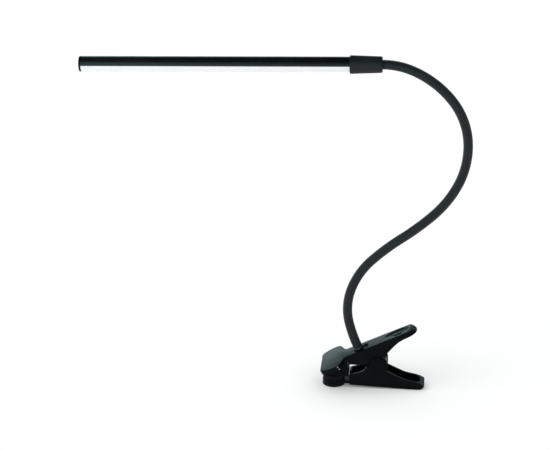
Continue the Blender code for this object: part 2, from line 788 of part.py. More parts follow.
def neck_piece(name, start, end, cutters, socket=True, ball_end=True):
    """A stretch of the neck: a socket at its lower end, a ball of the neck's radius at its upper end."""
    steps = max(2, round((end - start) / (NECK_RADIUS * 1.3)))
    distances = [start + (end - start) * k / steps for k in range(steps + 1)]
    radii = [1.0] * len(distances)
    if ball_end:
        for angle in (25, 50, 72):
            distances.append(end + NECK_RADIUS * math.sin(math.radians(angle)))
            radii.append(math.cos(math.radians(angle)))
    origin, heading = neck_point(start)
    straight_on = Vector((math.cos(neck_point(end)[1]), 0, math.sin(neck_point(end)[1])))
    points = [neck_point(min(d, end))[0] + straight_on * max(0.0, d - end) for d in distances]
    piece = wire(name, points, NECK_RADIUS, origin=origin, radii=radii, resolution=4)
    if socket:
        hollow = ball(f"{name}_socket", NECK_RADIUS + SOCKET_CLEARANCE, heading_frame(origin, heading))
        boolean(piece, [hollow], "DIFFERENCE", cutters)
    return piece


# ---------------------------------------------------------------- head


def arc(radius, start, end, steps=16):
    """Points on a circle in the head's frame, X up, from one angle to another in degrees from +Y."""
    points = []
    for k in range(steps + 1):
        angle = math.radians(start + (end - start) * k / steps)
        points.append(Vector((radius * math.sin(angle), radius * math.cos(angle))))
    return points


def light_bar(cutters):
    """Upper half housing with board ledges, lower half diffuser, and the board with its LEDs."""
    low = SLEEVE_LENGTH - TUBE_IN_SLEEVE
    high = SLEEVE_LENGTH + TUBE_SHOWING - GAP
    ledge_top_y = math.sqrt(TUBE_BORE**2 - LEDGE_THICKNESS**2)
    ledge_y = TUBE_RADIUS - LEDGE_WIDTH
    slope = math.degrees(math.asin(LEDGE_THICKNESS / TUBE_BORE))
    section = (
        arc(TUBE_RADIUS, 0, 180)
        + [Vector((0, -ledge_y)), Vector((LEDGE_THICKNESS, -ledge_y)), Vector((LEDGE_THICKNESS, -ledge_top_y))]
        + arc(TUBE_BORE, 180 - slope, slope)[1:-1]
        + [Vector((LEDGE_THICKNESS, ledge_top_y)), Vector((LEDGE_THICKNESS, ledge_y)), Vector((0, ledge_y))]
    )
    housing = outline_solid("lamp_housing", section, low, high, HEAD_FRAME)

    drop = Vector((GAP, 0))
    inner = arc(TUBE_BORE, 360, 180)
    diffuser_section = [point - drop for point in arc(TUBE_RADIUS, 180, 360) + inner]
    lowest = math.sqrt(TUBE_RADIUS**2 - GAP**2)
    diffuser_section = [Vector((x, max(-lowest, min(lowest, y)))) for x, y in diffuser_section]
    diffuser = outline_solid("diffuser", diffuser_section, low, high, HEAD_FRAME)

    board_from = low + BOARD_END_GAP
    board_to = high - BOARD_END_GAP
    board = block(
        "led_board",
        (BOARD_LOW, -BOARD_HALF_WIDTH, board_from),
        (BOARD_TOP, BOARD_HALF_WIDTH, board_to),
        HEAD_FRAME,
    )
    pitch = (board_to - board_from - 2 * LED_ROW_MARGIN) / LED_COUNT
    first = board_from + LED_ROW_MARGIN + (pitch - LED_LENGTH) / 2
    chips = block(
        "leds",
        (BOARD_LOW - LED_HEIGHT, -LED_HALF_WIDTH, first),
        (BOARD_LOW + BOARD_THICKNESS / 4, LED_HALF_WIDTH, first + LED_LENGTH),
        HEAD_FRAME,
    )
    row = chips.modifiers.new("row", "ARRAY")
    row.count = LED_COUNT
    row.use_relative_offset = False
    row.use_constant_offset = True
    row.constant_offset_displace = (0, 0, pitch)
    boolean(board, [chips], "UNION", cutters)
    return housing, diffuser, board


def end_cap(cutters):
    low = SLEEVE_LENGTH + TUBE_SHOWING
    rim = 0.0005
    cap = turned(
        "end_cap",
        (
            (0, low + END_CAP_THICKNESS),
            (TUBE_RADIUS - rim, low + END_CAP_THICKNESS),
            (TUBE_RADIUS, low + END_CAP_THICKNESS - rim),
            (TUBE_RADIUS, low),
            (0, low),
        ),
        HEAD_FRAME,
    )
    reach = TUBE_BORE * SPIGOT_REACH
    half = math.sqrt(TUBE_BORE**2 - reach**2) - GAP
    spans = (("upper_spigot", BOARD_TOP + 2 * GAP, reach), ("lower_spigot", -reach, -LED_HEIGHT - 2 * GAP))
    plugs = []
    for name, bottom, top in spans:
        start, end = (bottom, -half, low - END_CAP_SPIGOT), (top, half, low + END_CAP_THICKNESS / 2)
        plugs.append(block(name, start, end, HEAD_FRAME))
    boolean(cap, plugs, "UNION", cutters)
    return cap


def head_sleeve():
    """Tapered sleeve that joins the neck to the light bar, with three bores."""
    neck_end = NECK_RADIUS + SLEEVE_NECK_WALL
    tube_end = TUBE_RADIUS + SLEEVE_TUBE_WALL
    neck_bore = NECK_RADIUS + GAP
    tube_bore = TUBE_RADIUS + GAP
    tube_stop = SLEEVE_LENGTH - TUBE_IN_SLEEVE - GAP
    profile = (
        (tube_end - SLEEVE_CHAMFER, SLEEVE_LENGTH),
        (tube_end, SLEEVE_LENGTH - SLEEVE_CHAMFER),
        (neck_end + SLEEVE_CHAMFER / 2, SLEEVE_CHAMFER),
        (neck_end - SLEEVE_CHAMFER / 2, 0),
        (neck_bore, 0),
        (neck_bore, SLEEVE_NECK_BORE),
        (CRIMP_RADIUS + GAP, SLEEVE_NECK_BORE),
        (CRIMP_RADIUS + GAP, tube_stop),
        (tube_bore, tube_stop),
        (tube_bore, SLEEVE_LENGTH),
    )
    return turned("head_sleeve", profile, HEAD_FRAME)


def neck_crimp():
    """Steel ring crimped on the neck's upper end, behind the sleeve's wall."""
    low = SLEEVE_NECK_BORE + GAP
    return turned(
        "neck_crimp",
        (
            (CRIMP_RADIUS, low + CRIMP_LENGTH),
            (CRIMP_RADIUS, low),
            (NECK_RADIUS + GAP, low),
            (NECK_RADIUS + GAP, low + CRIMP_LENGTH),
        ),
        HEAD_FRAME,
        sides=24,
    )


def head_lead():
    """Lead from the neck's end up over the end of the LED board."""
    rise = BOARD_TOP + GAP + LEAD_RADIUS
    start = NECK_IN_SLEEVE + GAP
    end = SLEEVE_LENGTH - TUBE_IN_SLEEVE + 0.008
    steps = 8
    points = []
    for k in range(steps + 1):
        share = k / steps
        eased = min(1.0, share * 1.6)
        eased = eased * eased * (3 - 2 * eased)
        points.append(HEAD_FRAME @ Vector((rise * eased, 0, start + (end - start) * share)))
    return wire("head_lead", points, LEAD_RADIUS)


# ---------------------------------------------------------------- assembly


def main():
    clear_scene()
    lamp = new_collection("clip_on_reading_lamp")
    cutters = new_collection("cutters")
    cutters.hide_render = True

    moulded = make_material("black_moulded_plastic", (0.030, 0.034, 0.036), 0.42)
    rubber = make_material("black_rubber", (0.020, 0.020, 0.021), 0.80)
    sheath = make_material("charcoal_neck_sheath", (0.035, 0.037, 0.039), 0.62, 0.2)
    steel = make_material("zinc_plated_steel", (0.55, 0.55, 0.54), 0.35, 1.0)
    dark_steel = make_material("black_spring_steel", (0.05, 0.05, 0.055), 0.38, 0.9)
    anodised = make_material("black_anodised_aluminium", (0.018, 0.021, 0.023), 0.38, 0.6)
    opal = make_material("opal_diffuser", (0.93, 0.94, 0.94), 0.45)
    board = make_material("white_circuit_board", (0.82, 0.82, 0.78), 0.50)
    lead = make_material("lead_insulation", (0.02, 0.02, 0.02), 0.55)

    bodies = {"lower": [], "upper": [], "head": []}

    def place(body, obj, material):
        bodies[body].append(put(obj, lamp, material))

    place("lower", lower_jaw(cutters), moulded)
    place("upper", upper_jaw(cutters), moulded)
    foot, lower, upper = pads()
    place("lower", foot, rubber)
    place("lower", lower, rubber)
    place("upper", upper, rubber)
    place("lower", pivot_pin(), steel)
    place("lower", pivot_cap("pivot_cap_near", False), moulded)
    place("lower", pivot_cap("pivot_cap_far", True), moulded)
    place("lower", torsion_spring(), dark_steel)

    collar, washer, nut, gland, clamp_lead = neck_seat_pieces(cutters)
    place("upper", collar, dark_steel)
    place("upper", washer, steel)
    place("upper", nut, steel)
    place("upper", gland, rubber)
    place("upper", clamp_lead, lead)
    stub_from = 2 * GAP + COLLAR_HEIGHT
    place("upper", neck_piece("neck_base_stub", stub_from, JOINTS[0], cutters, socket=False), sheath)
    links = []
    for i in range(NECK_LINKS):
        link = neck_piece(f"neck_link_{i + 1:02d}", JOINTS[i], JOINTS[i + 1], cutters)
        links.append(put(link, lamp, sheath))
    top_end = NECK_LENGTH + NECK_IN_SLEEVE
    place("head", neck_piece("neck_top_stub", JOINTS[-1], top_end, cutters, ball_end=False), sheath)

    housing, diffuser, led_board = light_bar(cutters)
    place("head", housing, anodised)
    place("head", diffuser, opal)
    place("head", led_board, board)
    place("head", end_cap(cutters), moulded)
    place("head", head_sleeve(), moulded)
    place("head", neck_crimp(), steel)
    place("head", head_lead(), lead)

    clip_axis = axis_empty("clip_pivot_axis", PIVOT, lamp)
    head_axis = axis_empty("head_joint_axis", neck_point(JOINTS[-1])[0], lamp)
    adopt(clip_axis, bodies["upper"] + [links[0]])
    for below, above in zip(links, links[1:]):
        adopt(below, [above])
    adopt(links[-1], [head_axis])
    adopt(head_axis, bodies["head"])


main()
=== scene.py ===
import math

import bmesh
import bpy
from bpy.props import FloatProperty, FloatVectorProperty, IntProperty, PointerProperty
from bpy.types import Operator, Panel, PropertyGroup
from mathutils import Matrix, Vector


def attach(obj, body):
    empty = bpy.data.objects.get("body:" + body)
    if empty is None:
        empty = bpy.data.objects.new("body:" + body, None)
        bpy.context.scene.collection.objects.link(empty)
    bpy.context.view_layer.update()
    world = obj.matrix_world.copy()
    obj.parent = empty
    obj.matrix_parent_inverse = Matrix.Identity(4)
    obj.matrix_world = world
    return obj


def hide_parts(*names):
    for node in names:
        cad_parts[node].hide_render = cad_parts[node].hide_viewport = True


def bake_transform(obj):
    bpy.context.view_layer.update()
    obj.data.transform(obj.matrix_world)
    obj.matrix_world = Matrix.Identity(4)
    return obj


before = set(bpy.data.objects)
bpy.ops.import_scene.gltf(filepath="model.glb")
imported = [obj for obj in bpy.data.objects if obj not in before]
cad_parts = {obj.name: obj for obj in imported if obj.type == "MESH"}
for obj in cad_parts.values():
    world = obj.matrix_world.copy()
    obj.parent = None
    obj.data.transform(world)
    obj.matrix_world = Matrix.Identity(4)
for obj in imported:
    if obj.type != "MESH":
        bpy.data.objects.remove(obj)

bl_info = {
    "name": "Clip-on reading lamp",
    "version": (1, 0, 0),
    "blender": (4, 5, 0),
    "location": "3D View > Sidebar > Lamp",
    "description": "Builds a sprung clip, a bendable neck and a slim light bar over their working frame",
    "category": "Object",
}

# Fits and shared sizes, in metres
GAP = 0.0003
PIVOT = Vector((0.0475, 0.0, 0.028))
PIN_RADIUS = 0.0025
EAR_RADIUS = 0.010
EAR_SWEEP = 0.0106
EAR_STEPS = 24
CAP_RADIUS = 0.008
HALF_WIDTH = 0.011
WALL = 0.0022
LUG_RADIUS = 0.009
LUG_OUT = 0.0084
LUG_THICKNESS = 0.0024

# Upper jaw in its own frame: u along the arm, w square to its top face
ARM_SLOPE = math.radians(25.2)
ARM_TOP = 0.0216
ARM_UNDER = 0.0192
ARM_BACK = -0.0285
GRIP_END = 0.0525
SKIRT_LOW = 0.0170
SCOOP = (0.0170, 0.0455, 0.0082, 0.0013)
NECK_SEAT = -0.0136
GLAND_OFFSET = 0.0088

# Lower jaw and pads
LOWER_FRONT = 0.0170
LOWER_END = 0.0970
KNEE = 0.0770
PLATE_LOW, PLATE_TOP = 0.0033, 0.0063
FOOT_RADIUS = 0.012
UPPER_PAD_TOP = 0.0121

# Neck: tangent arcs of its rest line, each a length and a turn in degrees
NECK_RADIUS = 0.005
NECK_ARCS = (
    (0.030, -10.7),
    (0.040, -33.5),
    (0.040, -26.8),
    (0.040, -8.9),
    (0.040, 8.1),
    (0.040, 19.1),
    (0.050, 31.0),
    (0.050, 36.0),
    (0.050, 27.5),
    (0.032, 24.2),
)
NECK_LENGTH = 0.412
FIRST_JOINT = 0.015
JOINT_PITCH = 0.0383
LINKS = 10

# Head in its own frame: X up, Y across, Z from the neck towards the free end
SLEEVE_LENGTH = 0.033
TUBE_RADIUS = 0.008
TUBE_BORE = 0.0068
BAR_LOW = 0.020
BAR_HIGH = 0.3082
CAP_LOW = 0.3085

# Closeness of two places, merging distance of vertices, and length of an edge that is only a speck
SLACK = 1e-5
MERGE = 1e-6
SPECK = 5e-6


# ---------------------------------------------------------------- sizes and colours a user may change


class LampClipSizes(PropertyGroup):
    edge: FloatProperty(
        name="Edge rounding", description="Radius on the outer edges of the moulded jaws",
        default=0.0009, min=0.0002, max=0.0015, unit="LENGTH",
    )
    bar_length: FloatProperty(
        name="Finger bar length", description="Length of the raised bar in the finger scoop",
        default=0.0098, min=0.004, max=0.014, unit="LENGTH",
    )
    grip_ribs: IntProperty(
        name="Grip ribs", description="Raised ribs across the end of the lower grip",
        default=5, min=2, max=8, subtype="UNSIGNED",
    )


class LampNeckSizes(PropertyGroup):
    ribs: IntProperty(
        name="Ribs a link", description="Ribs of the sheath on the length of one link",
        default=17, min=8, max=24, subtype="UNSIGNED",
    )
    groove: FloatProperty(
        name="Groove depth", description="Depth of the grooves between two ribs of the sheath",
        default=0.00042, min=0.0001, max=0.0008, unit="LENGTH",
    )


class LampHeadSizes(PropertyGroup):
    chips: IntProperty(
        name="Chips", description="Light chips in the row on the board",
        default=24, min=8, max=36, subtype="UNSIGNED",
    )
    fillet: FloatProperty(
        name="Sleeve rim", description="Rounding of the sleeve's two rims",
        default=0.0007, min=0.0002, max=0.0012, unit="LENGTH",
    )


def colour_property(name, description, default):
    return FloatVectorProperty(
        name=name, description=description, default=default, subtype="COLOR", size=3, min=0, max=1
    )


class LampColours(PropertyGroup):
    moulded: colour_property("Moulded plastic", "Colour of jaws, caps and end cap", (0.0013, 0.0020, 0.0022))
    sleeve: colour_property("Sleeve", "Colour of the sleeve at the light bar", (0.0042, 0.0066, 0.0074))
    sheath: colour_property("Neck sheath", "Colour of the ribbed neck", (0.0085, 0.0118, 0.0132))
    rubber: colour_property("Rubber", "Colour of the pads and the gland", (0.0022, 0.0030, 0.0031))
    housing: colour_property("Housing", "Colour of the anodised housing", (0.0020, 0.0030, 0.0036))
    diffuser: colour_property("Diffuser", "Colour of the opal diffuser", (0.74, 0.77, 0.79))


class LampStageSettings(PropertyGroup):
    floor: colour_property("Floor", "Colour of the studio floor", (0.86, 0.87, 0.87))
    azimuth: FloatProperty(
        name="Camera azimuth", description="Camera's turn round the lamp, from straight in front",
        default=math.radians(5.0), subtype="ANGLE",
    )
    elevation: FloatProperty(
        name="Camera elevation", description="Camera's height above the horizon, as an angle",
        default=math.radians(20.3), subtype="ANGLE",
    )
    distance: FloatProperty(
        name="Camera distance", description="Distance from the camera to the middle of its view",
        default=2.0, min=0.5, unit="LENGTH",
    )
    lens: FloatProperty(
        name="Lens", description="Focal length in millimetres", default=125.0, min=35.0, subtype="NONE"
    )


# ---------------------------------------------------------------- modelling by hand


def add(kind, name, **values):
    """Adds a primitive with everything else deselected, and puts its place into its mesh."""
    if bpy.context.mode != "OBJECT":
        bpy.ops.object.mode_set(mode="OBJECT")
    bpy.ops.object.select_all(action="DESELECT")
    getattr(bpy.ops.mesh, f"primitive_{kind}_add")(**values)
    obj = bpy.context.active_object
    obj.name = name
    obj.data.name = name
    bpy.ops.object.transform_apply(location=True, rotation=True, scale=True)
    return obj


def add_block(name, low, high):
    low, high = Vector(low), Vector(high)
    return add("cube", name, size=1.0, location=(low + high) / 2, scale=high - low)


def add_bar(name, radius, low, high, sides=48):
    """A round bar along Z."""
    return add(
        "cylinder", name, vertices=sides, radius=radius, depth=high - low, location=(0, 0, (low + high) / 2)
    )


def only(obj):
    """Object mode, with this object alone selected and active."""
    if bpy.context.mode != "OBJECT":
        bpy.ops.object.mode_set(mode="OBJECT")
    bpy.ops.object.select_all(action="DESELECT")
    obj.select_set(True)
    bpy.context.view_layer.objects.active = obj


def edit(obj):
    only(obj)
    bpy.ops.object.mode_set(mode="EDIT")
    bpy.ops.mesh.select_mode(type="VERT")
    bpy.ops.mesh.select_all(action="DESELECT")


def leave():
    bpy.ops.object.mode_set(mode="OBJECT")


def trim(plane_co, plane_no):
    """Cuts the open mesh with a plane, keeps what is behind it and closes the cut."""
    bpy.ops.mesh.select_all(action="SELECT")
    bpy.ops.mesh.bisect(
        plane_co=plane_co, plane_no=plane_no, use_fill=True, clear_outer=True, threshold=MERGE
    )


def near(a, b, slack=SLACK):
    return abs(a - b) < slack


def select(kind, test):
    """Selects the vertices, edges or faces of the open mesh that pass a test, and nothing else."""
    bpy.ops.mesh.select_mode(type=kind)
    bpy.ops.mesh.select_all(action="DESELECT")
    mesh = bpy.context.edit_object.data
    bm = bmesh.from_edit_mesh(mesh)
    count = 0
    for item in {"VERT": bm.verts, "EDGE": bm.edges, "FACE": bm.faces}[kind]:
        if test(item):
            item.select_set(True)
            count += 1
    bm.select_flush_mode()
    bmesh.update_edit_mesh(mesh)
    if not count:
        raise RuntimeError(f"nothing of {bpy.context.edit_object.name} passes the selection")


def centre_of(edge):
    return (edge.verts[0].co + edge.verts[1].co) / 2


def run_of(edge):
    return edge.verts[1].co - edge.verts[0].co


def modify(obj, kind, **values):
    """Adds a modifier, sets it and applies it."""
    only(obj)
    bpy.ops.object.modifier_add(type=kind)
    step = obj.modifiers[-1]
    for key, value in values.items():
        setattr(step, key, value)
    bpy.ops.object.modifier_apply(modifier=step.name)


def repeat(obj, count, pitch, **values):
    """Repeats a mesh along Z."""
    step = (0, 0, pitch)
    modify(
        obj, "ARRAY", count=count, use_relative_offset=False, use_constant_offset=True,
        constant_offset_displace=step, **values,
    )


def combine(obj, other, operation):
    """Cuts, adds or crosses another solid with this one, and removes the other."""
    modify(obj, "BOOLEAN", object=other, operation=operation, solver="EXACT")
    bpy.data.objects.remove(other, do_unlink=True)


def join(obj, others):
    only(obj)
    for other in others:
        other.select_set(True)
    bpy.ops.object.join()


def place(obj, matrix):
    """Moves a piece made round the origin to its frame, with the place kept in the mesh."""
    only(obj)
    obj.matrix_world = matrix
    bpy.ops.object.transform_apply(location=True, rotation=True, scale=True)


def copied(obj, name):
    only(obj)
    bpy.ops.object.duplicate(linked=False)
    twin = bpy.context.active_object
    twin.name = name
    twin.data.name = name
    return twin


def mirrored(obj, name):
    """A copy on the other side of the plane y = 0, with faces turned outwards again."""
    twin = copied(obj, name)
    twin.scale = (1, -1, 1)
    bpy.ops.object.transform_apply(location=True, rotation=True, scale=True)
    edit(twin)
    bpy.ops.mesh.select_all(action="SELECT")
    bpy.ops.mesh.normals_make_consistent(inside=False)
    leave()
    return twin


def tidy_mesh(obj):
    edit(obj)
    bpy.ops.mesh.select_all(action="SELECT")
    bpy.ops.mesh.remove_doubles(threshold=MERGE)
    bpy.ops.mesh.normals_make_consistent(inside=False)
    leave()


def bevel_edges(obj, test, width, segments=3):
    """Rounds the edges that pass a test."""
    edit(obj)
    select("EDGE", test)
    bpy.ops.mesh.bevel(offset=width, segments=segments, affect="EDGES", clamp_overlap=True)
    bpy.ops.mesh.select_all(action="SELECT")
    bpy.ops.mesh.remove_doubles(threshold=SPECK)
    bpy.ops.mesh.dissolve_degenerate(threshold=SPECK)
    leave()


def between_faces(edge, low_below, high_above):
    """Whether an edge joins a face that looks down below one limit and a face that looks above another."""
    ups = sorted(face.normal.z for face in edge.link_faces)
    return len(ups) == 2 and ups[0] < low_below and ups[1] > high_above


def under_rim(edge, down):
    """Whether an edge joins a face that looks down at least this much and a wall."""
    return between_faces(edge, down, -0.3)


def at_height(edge, z):
    return all(near(vert.co.z, z) for vert in edge.verts)


def at_station(edge, x):
    return all(near(vert.co.x, x) for vert in edge.verts)


def flatten(obj):
    """Makes one face of each flat side."""
    edit(obj)
    bpy.ops.mesh.select_all(action="SELECT")
    bpy.ops.mesh.dissolve_limited(angle_limit=math.radians(0.5))
    leave()


def upright(edge, x):
    """Whether an edge stands upright at a place along X."""
    run = run_of(edge)
    return at_station(edge, x) and abs(run.z) > 0.001 and abs(run.y) < MERGE


def turn_up(name, profile, sides=48, ends="fill"):
    """A round piece about Z, raised ring by ring from a circle through (radius, height) points."""
    radius, height = profile[0]
    obj = add("circle", name, vertices=sides, radius=radius, location=(0, 0, height), fill_type="NOTHING")
    edit(obj)
    bpy.ops.mesh.select_all(action="SELECT")
    for new_radius, new_height in profile[1:]:
        bpy.ops.mesh.extrude_region_move(TRANSFORM_OT_translate={"value": (0, 0, new_height - height)})
        grow = new_radius / radius
        bpy.ops.transform.resize(value=(grow, grow, 1), center_override=(0, 0, new_height))
        radius, height = new_radius, new_height
    bpy.ops.mesh.select_mode(type="EDGE")
    if ends != "open":
        bpy.ops.mesh.select_all(action="DESELECT")
        bpy.ops.mesh.select_non_manifold()
        if ends == "ring":
            bpy.ops.mesh.bridge_edge_loops()
        else:
            bpy.ops.mesh.fill_holes(sides=0)
    bpy.ops.mesh.select_all(action="SELECT")
    bpy.ops.mesh.normals_make_consistent(inside=False)
    leave()
    return obj


def draw_out(name, stations):
    """A closed bar along X, extruded from station to station: each is (x, half width, low, top)."""
    x, half, low, top = stations[0]
    following = stations[1][0]
    obj = add_block(name, (x, -half, low), (following, half, top))
    edit(obj)
    x = following
    for i, (new_x, new_half, new_low, new_top) in enumerate(stations[1:]):
        if i:
            select("FACE", lambda f: all(near(v.co.x, x) for v in f.verts))
            bpy.ops.mesh.extrude_region_move(TRANSFORM_OT_translate={"value": (new_x - x, 0, 0)})
            x = new_x
        middle = (low + top) / 2
        select("VERT", lambda v: near(v.co.x, x) and v.co.z > middle)
        bpy.ops.transform.translate(value=(0, 0, new_top - top))
        select("VERT", lambda v: near(v.co.x, x) and v.co.z < middle and v.co.z < new_top - SLACK)
        bpy.ops.transform.translate(value=(0, 0, new_low - low))
        select("VERT", lambda v: near(v.co.x, x))
        bpy.ops.transform.resize(value=(1, new_half / half, 1), center_override=(x, 0, 0))
        half, low, top = new_half, new_low, new_top
    leave()
    return obj


def draw_wire(name, points, radius, resolution=4):
    """A round wire along points, turned into a mesh with closed ends."""
    curve = bpy.data.curves.new(name, "CURVE")
    curve.dimensions = "3D"
    curve.bevel_depth = radius
    curve.bevel_resolution = resolution
    curve.use_fill_caps = True
    spline = curve.splines.new("POLY")
    spline.points.add(len(points) - 1)
    for point, co in zip(spline.points, points):
        point.co = (*co, 1)
    obj = bpy.data.objects.new(name, curve)
    bpy.context.scene.collection.objects.link(obj)
    only(obj)
    bpy.ops.object.convert(target="MESH")
    obj = bpy.context.active_object
    obj.data.name = name
    tidy_mesh(obj)
    return obj


def hand_over(obj, body, material, nodes=(), angle=35.0, tidy=True):
    """Last steps of every piece: clean mesh, shading, finish, body and the nodes it stands for."""
    if tidy:
        tidy_mesh(obj)
    only(obj)
    bpy.ops.object.shade_smooth_by_angle(angle=math.radians(angle))
    obj.data.materials.clear()
    obj.data.materials.append(material)
    if body:
        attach(obj, body)
    if nodes:
        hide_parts(*nodes)
    return obj


# ---------------------------------------------------------------- frames and lines

SIDE_VIEW = Matrix.Rotation(math.radians(90), 4, "X")
ARM_FRAME = Matrix.Translation(PIVOT) @ Matrix.Rotation(-ARM_SLOPE, 4, "Y")
PIN_FRAME = Matrix.Translation(PIVOT) @ SIDE_VIEW
SEAT_FRAME = ARM_FRAME @ Matrix.Translation((NECK_SEAT, 0, ARM_TOP))
GLAND_FRAME = SEAT_FRAME @ Matrix.Translation((GLAND_OFFSET, 0, 0))


def neck_point(distance):
    """Place and heading (radians in the XZ plane) of the neck's centre line at a distance from the arm."""
    spot = ARM_FRAME @ Vector((NECK_SEAT, 0, ARM_TOP))
    heading = math.pi / 2 + ARM_SLOPE
    for length, turn in NECK_ARCS:
        step = min(distance, length)
        angle = math.radians(turn) * step / length
        chord = step if abs(angle) < 1e-9 else 2 * step / angle * math.sin(angle / 2)
        middle = heading + angle / 2
        spot = spot + Vector((math.cos(middle), 0, math.sin(middle))) * chord
        heading += angle
        distance -= step
        if distance <= 0:
            break
    if distance > 0:
        spot = spot + Vector((math.cos(heading), 0, math.sin(heading))) * distance
    return spot, heading


def heading_frame(spot, heading):
    """A frame whose Z runs along a heading and whose X is square to it in the XZ plane."""
    along = Vector((math.cos(heading), 0, math.sin(heading)))
    across = Vector((math.sin(heading), 0, -math.cos(heading)))
    side = along.cross(across)
    return Matrix.Translation(spot) @ Matrix((across, side, along)).transposed().to_4x4()


HEAD_FRAME = heading_frame(*neck_point(NECK_LENGTH))


# ---------------------------------------------------------------- shader groups


def new_group(name, inputs, outputs):
    """A shader node group with named sockets, each a (name, kind, default)."""
    group = bpy.data.node_groups.new(name, "ShaderNodeTree")
    for socket, kind, default in inputs:
        made = group.interface.new_socket(name=socket, in_out="INPUT", socket_type=kind)
        if default is not None:
            made.default_value = default
    for socket, kind in outputs:
        group.interface.new_socket(name=socket, in_out="OUTPUT", socket_type=kind)
    start = group.nodes.new("NodeGroupInput")
    end = group.nodes.new("NodeGroupOutput")
    return group, start.outputs, end.inputs


def wired(tree, kind, links=(), **values):
    """Adds a node, sets its values and links (socket, source) pairs into it."""
    node = tree.nodes.new(kind)
    for key, value in values.items():
        setattr(node, key, value)
    for socket, source in links:
        if hasattr(source, "is_linked"):
            tree.links.new(source, node.inputs[socket])
        else:
            node.inputs[socket].default_value = source
    return node


VECTOR, FLOAT, COLOUR = "NodeSocketVector", "NodeSocketFloat", "NodeSocketColor"


def group_named(name, inputs, outputs, fill):
    """The shader group of this name, built the first time that it is asked for."""
    if name not in bpy.data.node_groups:
        fill(*new_group(name, inputs, outputs))
    return bpy.data.node_groups[name]


def noise(tree, where, scale, detail, roughness):
    links = (("Vector", where), ("Scale", scale), ("Detail", detail), ("Roughness", roughness))
    return wired(tree, "ShaderNodeTexNoise", links).outputs["Fac"]


def moulded_grain():
    """Spark-eroded grain of a moulding: a fine height and a slow unevenness."""

    def fill(group, given, out):
        group.links.new(noise(group, given["Vector"], given["Grain"], 2.0, 0.6), out["Height"])
        group.links.new(noise(group, given["Vector"], given["Patches"], 4.0, 0.55), out["Unevenness"])

    inputs = (("Vector", VECTOR, None), ("Grain", FLOAT, 2600.0), ("Patches", FLOAT, 55.0))
    return group_named("moulded grain", inputs, (("Height", FLOAT), ("Unevenness", FLOAT)), fill)


def handling_marks():
    """Rubbed and slightly dusty places: a colour and a roughness that vary over the surface."""

    def fill(group, given, out):
        value = ("Value", given["Unevenness"])
        spread = wired(
            group, "ShaderNodeMapRange", (value, ("From Min", 0.35), ("From Max", 0.68)),
            interpolation_type="SMOOTHSTEP",
        )
        links = (("Factor", spread.outputs["Result"]), (6, given["Colour"]), (7, given["Worn Colour"]))
        colour = wired(group, "ShaderNodeMix", links, data_type="RGBA")
        ends = (("To Min", given["Low Roughness"]), ("To Max", given["High Roughness"]))
        rough = wired(group, "ShaderNodeMapRange", (value, ("From Min", 0.3), ("From Max", 0.7)) + ends)
        group.links.new(colour.outputs[2], out["Colour"])
        group.links.new(rough.outputs["Result"], out["Roughness"])

    inputs = (
        ("Unevenness", FLOAT, 0.5),
        ("Colour", COLOUR, (0.5, 0.5, 0.5, 1)),
        ("Worn Colour", COLOUR, (0.6, 0.6, 0.6, 1)),
        ("Low Roughness", FLOAT, 0.35),
        ("High Roughness", FLOAT, 0.5),
    )
    return group_named("handling marks", inputs, (("Colour", COLOUR), ("Roughness", FLOAT)), fill)


def drawn_lines():
    """Fine lines left along a drawn or turned metal piece, by stretching noise along one direction."""

    def fill(group, given, out):
        links = (("Vector", given["Vector"]), ("Rotation", given["Turn"]))
        turned = wired(group, "ShaderNodeVectorRotate", links, rotation_type="EULER_XYZ")
        links = ((0, turned.outputs["Vector"]), (1, given["Stretch"]))
        stretched = wired(group, "ShaderNodeVectorMath", links, operation="MULTIPLY")
        group.links.new(noise(group, stretched.outputs["Vector"], 1.0, 3.0, 0.7), out["Height"])

    inputs = (("Vector", VECTOR, None), ("Stretch", VECTOR, (3.0, 900.0, 900.0)), ("Turn", VECTOR, (0, 0, 0)))
    return group_named("drawn lines", inputs, (("Height", FLOAT),), fill)


def finish(name, colour, worn, rough, grain, patches, depth, lines=None, **sockets):
    """A material of this lamp: grain or drawn lines as height, handling marks, and plain shader values."""
    if name in bpy.data.materials:
        return bpy.data.materials[name]
    made = bpy.data.materials.new(name)
    made.use_nodes = True
    tree = made.node_tree
    shader = tree.nodes["Principled BSDF"]
    where = wired(tree, "ShaderNodeTexCoord").outputs["Object"]
    links = (("Vector", where), ("Grain", grain), ("Patches", patches))
    texture = wired(tree, "ShaderNodeGroup", links, node_tree=moulded_grain())
    height = texture.outputs["Height"]
    if lines:
        links = (("Vector", where), ("Stretch", lines[0]), ("Turn", lines[1]))
        height = wired(tree, "ShaderNodeGroup", links, node_tree=drawn_lines()).outputs["Height"]
    links = (
        ("Unevenness", texture.outputs["Unevenness"]),
        ("Colour", (*colour, 1.0)),
        ("Worn Colour", (*[min(1.0, part * worn) for part in colour], 1.0)),
        ("Low Roughness", rough[0]),
        ("High Roughness", rough[1]),
    )
    marks = wired(tree, "ShaderNodeGroup", links, node_tree=handling_marks())
    bump = wired(tree, "ShaderNodeBump", (("Height", height), ("Strength", 0.6), ("Distance", depth)))
    tree.links.new(marks.outputs["Colour"], shader.inputs["Base Color"])
    tree.links.new(marks.outputs["Roughness"], shader.inputs["Roughness"])
    tree.links.new(bump.outputs["Normal"], shader.inputs["Normal"])
    for socket, value in sockets.items():
        shader.inputs[socket.replace("_", " ")].default_value = value
    return made


def lamp_colour(key):
    return getattr(bpy.context.scene.lamp_colours, key)


def moulded():
    return finish(
        "satin moulded black", lamp_colour("moulded"), worn=1.6, rough=(0.26, 0.38),
        grain=2400.0, patches=60.0, depth=0.00003, Specular_IOR_Level=0.055,
    )


